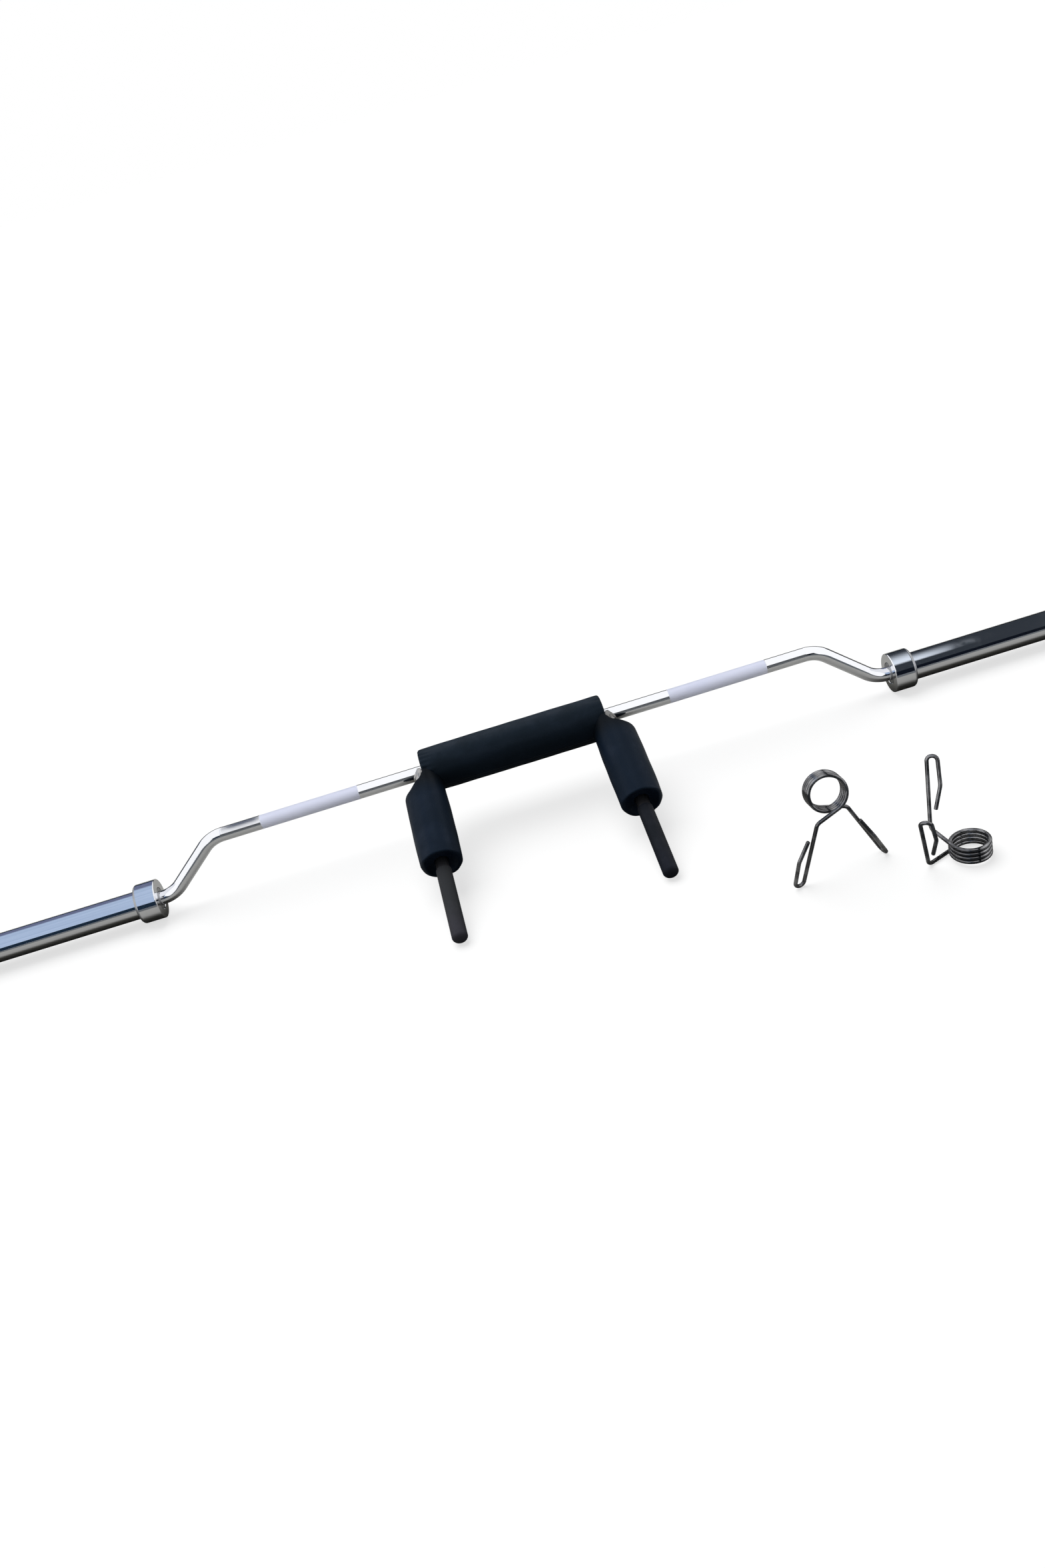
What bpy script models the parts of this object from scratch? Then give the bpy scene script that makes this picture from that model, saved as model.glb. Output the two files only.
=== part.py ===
"""Safety squat bar with padded yoke, turning sleeves and two loose spring collars.

Metres, +Z up. The bar lies along X, its handles point towards -Y and rest on the floor at z = 0,
and the origin is under the middle of everything that stands on that floor.
"""
import bpy
import bmesh
import math
from mathutils import Matrix, Vector

# Shaft: one bent steel bar
SHAFT_DIAMETER = 0.0250
CENTRE_SPAN = 1.102          # between the two upper bend corners
CAMBER_DROP = 0.0860         # how far the sleeve axis lies under the shaft's middle
CAMBER_RUN = 0.0997          # how far each sloping run reaches outwards
BEND_RADIUS = 0.060          # on the centre line
SHAFT_STUB = 0.0024          # straight shaft between the last bend and the sleeve
RING_GROOVE_DEPTH = 0.0013
RING_GROOVE_WIDTH = 0.0020
SPINDLE_TIP = 0.0080         # shaft left outside the ring groove

# Sleeve with its pressed collar
SLEEVE_DIAMETER = 0.0500
SLEEVE_BORE = 0.0300         # between the two bushings
BUSHING_SEAT = 0.0360        # counterbore at each end
LOADABLE_LENGTH = 0.380
COLLAR_DIAMETER = 0.0710
COLLAR_LENGTH = 0.0400
COLLAR_SHOULDER = 0.0055     # rounding of the outer edge
COLLAR_EDGE = 0.0030         # rounding of the inner edge
COLLAR_LIP = 0.0050          # lip that the sleeve butts against
LIP_BORE = 0.0390

# Bearings and what holds the sleeve on
BUSHING_LENGTH = 0.0400
OUTER_BUSHING_INSET = 0.0560  # from the sleeve's outer end to the bushing's outer face
WASHER_THICKNESS = 0.0025
WASHER_DIAMETER = 0.0340
RING_THICKNESS = 0.0015
RING_DIAMETER = 0.0310
CAP_FLANGE = 0.0040
CAP_PLUG_LENGTH = 0.0140
CAP_WALL = 0.0030

# Yoke: two arms welded to the shaft, with their pads and grips
NECK_PAD_DIAMETER = 0.0815
NECK_PAD_LENGTH = 0.3296
NECK_PAD_CROWN = 0.0006
NECK_PAD_RIM = 0.0045
ARM_OUTSET = 0.0058          # arm's axis outside the neck pad's end
ARM_TUBE_DIAMETER = 0.0220
ARM_TUBE_WALL = 0.0020
WELD_BEAD = 0.0022           # width of the bead round each arm's root
ARM_PAD_DIAMETER = 0.0730
ARM_PAD_LENGTH = 0.1710
ARM_PAD_CROWN = 0.0010
ARM_PAD_RIM = 0.0100         # rounding at the lower end
ARM_PAD_CORNER = 0.0120      # rounding of the free top corner
ARM_PAD_FOLD = 0.0040        # rounding where it lies against the neck pad
ARM_PAD_BLEND = 0.0160       # width over which the hugging top turns into the free one
ARM_PAD_DISH = 0.0060        # how far the lower end is sunk round the tube
BARE_TUBE = 0.0110           # tube that shows between pad and grip
GRIP_DIAMETER = 0.0256
GRIP_LENGTH = 0.1467
GRIP_DOME = 0.0090
GRIP_END_WALL = 0.0070
GRIP_MOUTH = 0.0008          # chamfer round the grip's open end

# Spring collars, one wire each
SPRING_WIRE = 0.0060
SPRING_BORE = 0.0488
SPRING_TURNS = 4
SPRING_TURN_GAP = 0.0008
SPRING_SHOULDER_HALF = 0.0270
HANDLE_LENGTH = 0.1080
HANDLE_SPREAD = math.radians(21.0)
LOOP_WIDTH = 0.0150
LOOP_RETURN = 0.0800
WIRE_BEND = 0.0110
SHOULDER_DROP_STANDING = 0.0380   # from the ring's middle to the wire's bend
SHOULDER_DROP_SITTING = 0.0560
STANDING_AT = (0.400, -0.451)
STANDING_LEAN = math.radians(13)
STANDING_BEND = math.radians(-18)
SITTING_AT = (0.579, -0.511)
SITTING_TURN = math.radians(-119)
SITTING_BEND = math.radians(90)

# Clearances
TOUCH = 0.0003               # between pieces that bear on each other
PAD_GAP = 0.0006             # between soft pads
ARM_PAD_SEAT = 0.0030        # flat top of an arm pad above the neck pad's surface

# Facets
ROUND = 40
SMALL_ROUND = 24
PAD_ROUND = 36
SHAFT_SIDES = 20
HELIX_STEPS = 24


# Materials
def material(name, colour, roughness, metallic):
    """Makes a Principled material of one colour."""
    mat = bpy.data.materials.new(name)
    mat.use_nodes = True
    shader = mat.node_tree.nodes["Principled BSDF"]
    shader.inputs["Base Color"].default_value = (*colour, 1.0)
    shader.inputs["Roughness"].default_value = roughness
    shader.inputs["Metallic"].default_value = metallic
    return mat


# Shape helpers
def clear_scene():
    """Takes every object out of the scene."""
    for obj in list(bpy.data.objects):
        bpy.data.objects.remove(obj, do_unlink=True)


def add_object(name, bm, mat, parent, matrix=None):
    """Turns a bmesh into a smooth-shaded object under a parent."""
    bmesh.ops.recalc_face_normals(bm, faces=bm.faces)
    mesh = bpy.data.meshes.new(name)
    bm.to_mesh(mesh)
    bm.free()
    mesh.shade_smooth()
    mesh.set_sharp_from_angle(angle=math.radians(35))
    obj = bpy.data.objects.new(name, mesh)
    bpy.context.collection.objects.link(obj)
    obj.parent = parent
    if matrix is not None:
        obj.matrix_local = matrix
    if mat is not None:
        obj.data.materials.append(mat)
    return obj


def turned(profile, steps, sweep=math.tau):
    """Spins a profile of (radius, height) points round Z; a profile off the axis is a closed loop."""
    bm = bmesh.new()
    verts = [bm.verts.new((radius, 0.0, height)) for radius, height in profile]
    edges = [bm.edges.new(pair) for pair in zip(verts, verts[1:])]
    on_axis = profile[0][0] == 0.0
    if not on_axis:
        edges.append(bm.edges.new((verts[-1], verts[0])))
    whole = math.isclose(sweep, math.tau)
    if not whole:
        bm.faces.new(verts)
    spun = bmesh.ops.spin(bm, geom=verts + edges, cent=(0, 0, 0), axis=(0, 0, 1),
                          angle=sweep, steps=steps, use_merge=whole)
    if not whole:
        last = [item for item in spun["geom_last"] if isinstance(item, bmesh.types.BMVert)]
        bm.faces.new(last)
    bmesh.ops.remove_doubles(bm, verts=bm.verts, dist=1e-6)
    return bm


def skinned(rings, closed):
    """Bridges rings of points into a tube, closed on itself or capped at both ends."""
    bm = bmesh.new()
    loops = [[bm.verts.new(point) for point in ring] for ring in rings]
    pairs = list(zip(loops, loops[1:]))
    if closed:
        pairs.append((loops[-1], loops[0]))
    for low, high in pairs:
        for k, vert in enumerate(low):
            after = (k + 1) % len(low)
            bm.faces.new((vert, low[after], high[after], high[k]))
    if not closed:
        bm.faces.new(loops[0])
        bm.faces.new(loops[-1])
    return bm


def rounded_edge(radius_centre, height_centre, radius, start, end, steps):
    """Points of an arc in a profile; angles are from the outward radius towards +Z."""
    points = []
    for k in range(steps + 1):
        angle = start + (end - start) * k / steps
        points.append((radius_centre + radius * math.cos(angle),
                       height_centre + radius * math.sin(angle)))
    return points


def rounded_route(corners, radius, step=math.radians(12)):
    """Points along straight runs whose inner corners are bent to a radius."""
    route = [Vector(corners[0])]
    for before, corner, after in zip(corners, corners[1:], corners[2:]):
        corner = Vector(corner)
        back = (Vector(before) - corner).normalized()
        ahead = (Vector(after) - corner).normalized()
        turn = math.pi - back.angle(ahead)
        reach = radius * math.tan(turn / 2)
        centre = corner + (back + ahead).normalized() * radius / math.cos(turn / 2)
        start = corner + back * reach - centre
        side = (corner + ahead * reach - centre) - start * math.cos(turn)
        side = side.normalized() * radius
        steps = max(2, round(turn / step))
        for k in range(steps + 1):
            angle = turn * k / steps
            route.append(centre + start * math.cos(angle) + side * math.sin(angle))
    route.append(Vector(corners[-1]))
    return route


def cut(obj, cutter, operation="DIFFERENCE"):
    """Adds an exact Boolean and hides the cutter."""
    modifier = obj.modifiers.new(operation.title(), "BOOLEAN")
    modifier.operation = operation
    modifier.solver = "EXACT"
    modifier.object = cutter
    cutter.hide_render = True
    cutter.display_type = "WIRE"


def smooth_step(low, high, value):
    """Rises smoothly from 0 at low to 1 at high."""
    share = min(max((value - low) / (high - low), 0.0), 1.0)
    return share * share * (3 - 2 * share)


# Places along the bar, worked out from the sizes above
shaft_r = SHAFT_DIAMETER / 2
collar_r = COLLAR_DIAMETER / 2
sleeve_r = SLEEVE_DIAMETER / 2
neck_r = NECK_PAD_DIAMETER / 2
arm_pad_r = ARM_PAD_DIAMETER / 2
tube_r = ARM_TUBE_DIAMETER / 2
grip_r = GRIP_DIAMETER / 2

bend_angle = math.atan2(CAMBER_DROP, CAMBER_RUN)
bend_reach = BEND_RADIUS * math.tan(bend_angle / 2)
collar_face = CENTRE_SPAN / 2 + CAMBER_RUN + bend_reach + SHAFT_STUB
plate_stop = collar_face + COLLAR_LENGTH
sleeve_start = collar_face + COLLAR_LIP + TOUCH
sleeve_end = plate_stop + LOADABLE_LENGTH
outer_bushing_end = sleeve_end - OUTER_BUSHING_INSET
washer_start = outer_bushing_end + TOUCH
groove_start = washer_start + WASHER_THICKNESS
spindle_end = groove_start + RING_GROOVE_WIDTH + SPINDLE_TIP

sleeve_height = collar_r
shaft_height = sleeve_height + CAMBER_DROP

arm_at = NECK_PAD_LENGTH / 2 + ARM_OUTSET
arm_pad_start = neck_r + PAD_GAP + ARM_PAD_SEAT
arm_pad_end = arm_pad_start + ARM_PAD_LENGTH
grip_start = arm_pad_end + BARE_TUBE
handle_reach = grip_start + GRIP_LENGTH


def resting_slope():
    """Slope of the arms at which the domed grip ends touch the floor, by halving."""
    low, high = 0.0, math.radians(60)
    for _ in range(50):
        slope = (low + high) / 2
        sink = (handle_reach - GRIP_DOME) * math.sin(slope)
        sink += math.hypot(grip_r * math.cos(slope), GRIP_DOME * math.sin(slope))
        if sink < shaft_height:
            low = slope
        else:
            high = slope
    return low


arm_slope = resting_slope()


def along_bar(side):
    """Frame on the sleeve axis whose Z runs outwards on one side."""
    place = Matrix.Translation((0, 0, sleeve_height))
    return place @ Matrix.Rotation(side * math.pi / 2, 4, "Y")


def along_arm(side):
    """Frame at an arm's root on the shaft axis: Z runs down the arm, Y is square to it and up."""
    place = Matrix.Translation((side * arm_at, 0, shaft_height))
    return place @ Matrix.Rotation(math.pi / 2 + arm_slope, 4, "X")


# Shaft
def make_shaft(mat, parent):
    """One bar, bent twice at each end, with a ring groove near each tip."""
    low_corner = CENTRE_SPAN / 2 + CAMBER_RUN
    corners = [(-groove_start, 0, sleeve_height), (-low_corner, 0, sleeve_height),
               (-CENTRE_SPAN / 2, 0, shaft_height), (CENTRE_SPAN / 2, 0, shaft_height),
               (low_corner, 0, sleeve_height), (groove_start, 0, sleeve_height)]
    route = rounded_route(corners, BEND_RADIUS, math.radians(7))
    groove_r = shaft_r - RING_GROOVE_DEPTH
    groove_end = groove_start + RING_GROOVE_WIDTH
    tip_chamfer = RING_GROOVE_DEPTH
    tip = [(groove_start, groove_r), (groove_end, groove_r), (groove_end, shaft_r),
           (spindle_end - tip_chamfer, shaft_r), (spindle_end, shaft_r - tip_chamfer)]
    stations = [(Vector((-x, 0, sleeve_height)), radius) for x, radius in reversed(tip)]
    stations += [(point, shaft_r) for point in route]
    stations += [(Vector((x, 0, sleeve_height)), radius) for x, radius in tip]
    rings = []
    for k, (point, radius) in enumerate(stations):
        before = stations[max(k - 1, 0)][0]
        after = stations[min(k + 1, len(stations) - 1)][0]
        heading = (after - before).normalized()
        across = Vector((0, 1, 0))
        over = heading.cross(across)
        ring = []
        for j in range(SHAFT_SIDES):
            angle = math.tau * j / SHAFT_SIDES
            ring.append(point + radius * (across * math.cos(angle) + over * math.sin(angle)))
        rings.append(ring)
    return add_object("bar_shaft", skinned(rings, closed=False), mat, parent)


# Sleeve and the parts that turn with it
def make_sleeve(side, name, mat, parent):
    """Tube with a counterbore for a bushing at each end."""
    bore_r = SLEEVE_BORE / 2
    seat_r = BUSHING_SEAT / 2
    edge = 0.0015
    inner_seat_end = sleeve_start + BUSHING_LENGTH + TOUCH
    outer_seat_start = outer_bushing_end - BUSHING_LENGTH - TOUCH
    profile = [(seat_r, sleeve_start), (sleeve_r, sleeve_start), (sleeve_r, sleeve_end - edge),
               (sleeve_r - edge, sleeve_end), (seat_r, sleeve_end),
               (seat_r, outer_seat_start), (bore_r, outer_seat_start),
               (bore_r, inner_seat_end), (seat_r, inner_seat_end)]
    return add_object(name, turned(profile, ROUND), mat, parent, along_bar(side))


def make_collar(side, name, mat, parent):
    """Flange that stops the plates, pressed on the sleeve's inner end."""
    bore_r = sleeve_r + TOUCH
    profile = [(LIP_BORE / 2, collar_face)]
    profile += rounded_edge(collar_r - COLLAR_EDGE, collar_face + COLLAR_EDGE, COLLAR_EDGE,
                            -math.pi / 2, 0, 3)
    profile += rounded_edge(collar_r - COLLAR_SHOULDER, plate_stop - COLLAR_SHOULDER, COLLAR_SHOULDER,
                            0, math.pi / 2, 4)
    profile += [(bore_r, plate_stop), (bore_r, collar_face + COLLAR_LIP),
                (LIP_BORE / 2, collar_face + COLLAR_LIP)]
    return add_object(name, turned(profile, ROUND), mat, parent, along_bar(side))


def make_bushing(side, name, start, mat, parent):
    """Plain bronze bushing between shaft and sleeve."""
    inner = shaft_r + TOUCH
    outer = BUSHING_SEAT / 2 - TOUCH
    profile = [(inner, start), (outer, start), (outer, start + BUSHING_LENGTH),
               (inner, start + BUSHING_LENGTH)]
    return add_object(name, turned(profile, SMALL_ROUND), mat, parent, along_bar(side))


def make_end_cap(side, name, mat, parent):
    """Domed cap whose hollow plug sits in the sleeve's outer end."""
    plug_r = BUSHING_SEAT / 2 - TOUCH
    hollow_r = plug_r - CAP_WALL
    face = sleeve_end + TOUCH
    plug_end = face - CAP_PLUG_LENGTH
    crown = face + CAP_FLANGE
    edge = CAP_FLANGE / 2
    profile = [(0.0, face), (hollow_r, face), (hollow_r, plug_end), (plug_r, plug_end),
               (plug_r, face), (sleeve_r, face), (sleeve_r, crown - edge),
               (sleeve_r - edge, crown), (0.0, crown)]
    return add_object(name, turned(profile, ROUND), mat, parent, along_bar(side))


# Parts fixed on the shaft inside each sleeve
def make_shoulder_ring(side, name, mat, parent):
    """Ring on the shaft that the inner bushing runs against."""
    inner = shaft_r + TOUCH
    outer = LIP_BORE / 2 - 2 * TOUCH
    start = collar_face + TOUCH
    end = collar_face + COLLAR_LIP
    profile = [(inner, start), (outer - TOUCH, start), (outer, start + TOUCH), (outer, end), (inner, end)]
    return add_object(name, turned(profile, SMALL_ROUND), mat, parent, along_bar(side))


def make_washer(side, name, mat, parent):
    """Thrust washer between the outer bushing and the retaining ring."""
    inner = shaft_r + TOUCH
    outer = WASHER_DIAMETER / 2
    end = washer_start + WASHER_THICKNESS - TOUCH
    profile = [(inner, washer_start), (outer, washer_start), (outer, end), (inner, end)]
    return add_object(name, turned(profile, SMALL_ROUND), mat, parent, along_bar(side))


def make_retaining_ring(side, name, mat, parent):
    """Open ring sprung into the shaft's groove."""
    inner = shaft_r - RING_GROOVE_DEPTH + TOUCH
    outer = RING_DIAMETER / 2
    middle = groove_start + RING_GROOVE_WIDTH / 2
    start = middle - RING_THICKNESS / 2
    end = middle + RING_THICKNESS / 2
    profile = [(inner, start), (outer, start), (outer, end), (inner, end)]
    opening = math.radians(40)
    ring = turned(profile, SMALL_ROUND, math.tau - opening)
    return add_object(name, ring, mat, parent, along_bar(side))


# Yoke
def make_arm_tube(side, name, mat, parent):
    """Tube coped to the shaft, with the weld bead round its root."""
    inner = tube_r - ARM_TUBE_WALL
    end = handle_reach - GRIP_END_WALL - TOUCH
    half_bead = tube_r + WELD_BEAD / 2
    rows = []
    for k in range(ROUND):
        angle = math.tau * k / ROUND
        along, across = math.cos(angle), math.sin(angle)

        def root(radius):
            return math.sqrt(max((shaft_r + TOUCH) ** 2 - (radius * across) ** 2, 0.0))

        row = [(inner, end), (inner, root(inner))]
        row += [(radius, root(radius)) for radius in (tube_r, half_bead, tube_r + WELD_BEAD)]
        row.append((half_bead, root(half_bead) + WELD_BEAD))
        row += [(tube_r, root(tube_r) + 1.5 * WELD_BEAD), (tube_r, end)]
        rows.append([Vector((along * radius, across * radius, height)) for radius, height in row])
    return add_object(name, skinned(rows, closed=True), mat, parent, along_arm(side))


def neck_radius(distance):
    """The neck pad's radius at a distance from its middle: a slight crown."""
    share = min(abs(distance) / (NECK_PAD_LENGTH / 2), 1.0)
    return neck_r - NECK_PAD_CROWN * share ** 2


def make_neck_pad(mat, parent):
    """Foam roll round the shaft, notched at both ends for the arm tubes."""
    half = NECK_PAD_LENGTH / 2
    rim = NECK_PAD_RIM
    hole = shaft_r + TOUCH
    end_r = neck_radius(half)
    profile = [(hole, -half)]
    profile += rounded_edge(end_r - rim, rim - half, rim, -math.pi / 2, 0, 3)
    spans = 8
    for k in range(1, spans):
        height = (rim - half) + 2 * (half - rim) * k / spans
        profile.append((neck_radius(height), height))
    profile += rounded_edge(end_r - rim, half - rim, rim, 0, math.pi / 2, 3)
    profile.append((hole, half))
    frame = Matrix.Translation((0, 0, shaft_height)) @ Matrix.Rotation(math.pi / 2, 4, "Y")
    pad = add_object("neck_pad", turned(profile, PAD_ROUND), mat, parent, frame)

    narrow = tube_r + PAD_GAP
    wide = tube_r + WELD_BEAD + PAD_GAP
    step = shaft_r + 2 * WELD_BEAD
    outside = neck_r + ARM_PAD_SEAT
    for side, tag in ((-1, "left"), (1, "right")):
        profile = [(0.0, 0.0), (wide, 0.0), (wide, step), (narrow, step + WELD_BEAD),
                   (narrow, outside), (0.0, outside)]
        notch = add_object("notch_" + tag, turned(profile, SMALL_ROUND), None, parent, along_arm(side))
        cut(pad, notch)
    return pad


def make_arm_pad(side, name, mat, parent):
    """Foam roll on an arm; its top hugs the neck pad inwards and is a free round corner outwards."""
    hole = tube_r + TOUCH
    neck_surface = neck_r + PAD_GAP

    def top_at(out, up):
        hug = math.sqrt(max(neck_surface ** 2 - up ** 2, 0.0))
        free = smooth_step(-ARM_PAD_BLEND / 2, ARM_PAD_BLEND / 2, out + ARM_OUTSET)
        return hug * (1 - free) + arm_pad_start * free

    rows = []
    for k in range(PAD_ROUND):
        angle = math.tau * k / PAD_ROUND
        out, up = math.cos(angle), math.sin(angle)
        corner = ARM_PAD_FOLD + (ARM_PAD_CORNER - ARM_PAD_FOLD) * smooth_step(-0.2, 0.9, out)
        row = []
        flat = arm_pad_r - corner
        for radius in (hole, (hole + flat) / 2, flat):
            row.append((radius, top_at(out * radius, up * radius)))
        for turn in (0.45, 0.75, 1.0):
            radius = flat + corner * math.sin(turn * math.pi / 2)
            drop = corner * (1 - math.cos(turn * math.pi / 2))
            row.append((radius, top_at(out * radius, up * radius) + drop))
        shoulder = row[-1][1]
        lower = arm_pad_end - ARM_PAD_RIM
        for share in (0.2, 0.4, 0.6, 0.8):
            crown = ARM_PAD_CROWN * (1 - (2 * share - 1) ** 2)
            row.append((arm_pad_r + crown, shoulder + (lower - shoulder) * share))
        row += rounded_edge(arm_pad_r - ARM_PAD_RIM, lower, ARM_PAD_RIM, 0, math.pi / 2, 3)
        row.append((hole, arm_pad_end - ARM_PAD_DISH))
        rows.append([Vector((side * out * radius, up * radius, height)) for radius, height in row])
    # each ring of the loft is one row of the pad's section, so the tube closes round the arm
    bm = skinned(rows, closed=True)
    return add_object(name, bm, mat, parent, along_arm(side))


def make_grip(side, name, mat, parent):
    """Closed rubber grip over the end of the arm tube."""
    bore = tube_r + TOUCH
    bottom = handle_reach - GRIP_END_WALL
    dome_start = handle_reach - GRIP_DOME
    profile = [(0.0, bottom), (bore, bottom), (bore, grip_start), (grip_r - GRIP_MOUTH, grip_start),
               (grip_r, grip_start + 2 * GRIP_MOUTH), (grip_r, dome_start)]
    steps = 5
    for k in range(1, steps):
        angle = math.pi / 2 * k / steps
        profile.append((grip_r * math.cos(angle), dome_start + GRIP_DOME * math.sin(angle)))
    profile.append((0.0, handle_reach))
    return add_object(name, turned(profile, SMALL_ROUND), mat, parent, along_arm(side))


# Spring collars
def spring_route(shoulder_drop, bend, loop_turns):
    """Centre line of one wire, ring axis along Z: handle loop, shoulder, coil, shoulder, handle loop."""
    radius = (SPRING_BORE + SPRING_WIRE) / 2
    hypotenuse = math.hypot(SPRING_SHOULDER_HALF, shoulder_drop)
    leave = math.acos(radius / hypotenuse) - math.atan2(SPRING_SHOULDER_HALF, shoulder_drop)
    turning = math.tau * SPRING_TURNS - 2 * leave
    pitch = SPRING_WIRE + SPRING_TURN_GAP
    half_height = pitch * turning / math.tau / 2

    def handle(side, height, loop_turn):
        shoulder = Vector((side * SPRING_SHOULDER_HALF, -shoulder_drop, height))
        touch = Vector((-side * radius * math.sin(leave), -radius * math.cos(leave), height))
        down = Vector((side * math.sin(HANDLE_SPREAD), -math.cos(HANDLE_SPREAD) * math.cos(bend),
                       math.cos(HANDLE_SPREAD) * math.sin(bend)))
        across = Vector((side, 0, 0))
        across = (across - down * across.dot(down)).normalized()
        behind = down.cross(across) * side
        wide = across * math.cos(loop_turn) + behind * math.sin(loop_turn)
        foot = shoulder + down * HANDLE_LENGTH
        back = foot + wide * LOOP_WIDTH
        knee = back - down * (LOOP_RETURN * 0.55) + wide * (LOOP_WIDTH * 0.15)
        end = back - down * LOOP_RETURN - wide * (LOOP_WIDTH * 0.40)
        loop_radius = LOOP_WIDTH / 2 - 0.0001
        route = rounded_route([shoulder, foot, back, knee], loop_radius, math.radians(22))
        knee_bend = rounded_route([route[-2], knee, end], WIRE_BEND * 2, math.radians(12))
        root = rounded_route([touch, shoulder, foot], WIRE_BEND, math.radians(16))
        return root[:-1] + route[1:-2] + knee_bend

    coil = []
    steps = round(HELIX_STEPS * turning / math.tau)
    for k in range(1, steps):
        share = k / steps
        angle = -math.pi / 2 + leave + turning * share
        coil.append(Vector((radius * math.cos(angle), radius * math.sin(angle),
                            half_height * (1 - 2 * share))))
    left = handle(-1, half_height, loop_turns[0])
    right = handle(1, -half_height, loop_turns[1])
    return list(reversed(left)) + coil + right


def least_gap(points):
    """Least clear distance of a wire to itself, leaving out neighbours along it."""
    least = math.inf
    lengths = [0.0]
    for before, after in zip(points, points[1:]):
        lengths.append(lengths[-1] + (after - before).length)
    for i, point in enumerate(points):
        for j in range(i + 1, len(points) - 1):
            if lengths[j] - lengths[i] < 3 * SPRING_WIRE:
                continue
            run = points[j + 1] - points[j]
            share = min(max((point - points[j]).dot(run) / run.dot(run), 0.0), 1.0)
            least = min(least, (points[j] + run * share - point).length)
    return least - SPRING_WIRE


def make_spring_collar(name, points, frame, mat, parent):
    """One unbroken wire through the points, standing on the floor."""
    print(f"{name}: least gap of the wire to itself {least_gap(points) * 1000:.2f} mm")
    lowest = min((frame @ point).z for point in points) - SPRING_WIRE / 2
    curve = bpy.data.curves.new(name, "CURVE")
    curve.dimensions = "3D"
    curve.bevel_depth = SPRING_WIRE / 2
    curve.bevel_resolution = 1
    curve.use_fill_caps = True
    spline = curve.splines.new("POLY")
    spline.points.add(len(points) - 1)
    for target, point in zip(spline.points, points):
        target.co = (*point, 1.0)
    obj = bpy.data.objects.new(name, curve)
    bpy.context.collection.objects.link(obj)
    obj.parent = parent
    obj.matrix_local = Matrix.Translation((0, 0, -lowest)) @ frame
    curve.materials.append(mat)
    return obj


def level_feet(points, frame):
    """Rolls a standing collar about Y until both handle loops touch the floor."""
    placed = [frame @ point for point in points]
    middle = len(placed) // 2
    left = min(placed[:middle], key=lambda point: point.z)
    right = min(placed[middle:], key=lambda point: point.z)
    roll = math.atan2(right.z - left.z, right.x - left.x)
    centre = Matrix.Translation(frame.translation)
    return centre @ Matrix.Rotation(roll, 4, "Y") @ centre.inverted() @ frame


def recentre(root):
    """Puts the origin under the middle of everything."""
    bpy.context.view_layer.update()
    depsgraph = bpy.context.evaluated_depsgraph_get()
    corners = []
    for obj in bpy.context.scene.objects:
        if obj.type == "EMPTY" or obj.hide_render:
            continue
        evaluated = obj.evaluated_get(depsgraph)
        mesh = evaluated.to_mesh()
        corners += [obj.matrix_world @ vert.co for vert in mesh.vertices]
        evaluated.to_mesh_clear()
    low = [min(corner[axis] for corner in corners) for axis in range(3)]
    high = [max(corner[axis] for corner in corners) for axis in range(3)]
    root.location = (-(low[0] + high[0]) / 2, -(low[1] + high[1]) / 2, 0)
    bpy.context.view_layer.update()
    print("size", [round(top - bottom, 5) for bottom, top in zip(low, high)], "lowest", round(low[2], 6))


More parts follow.
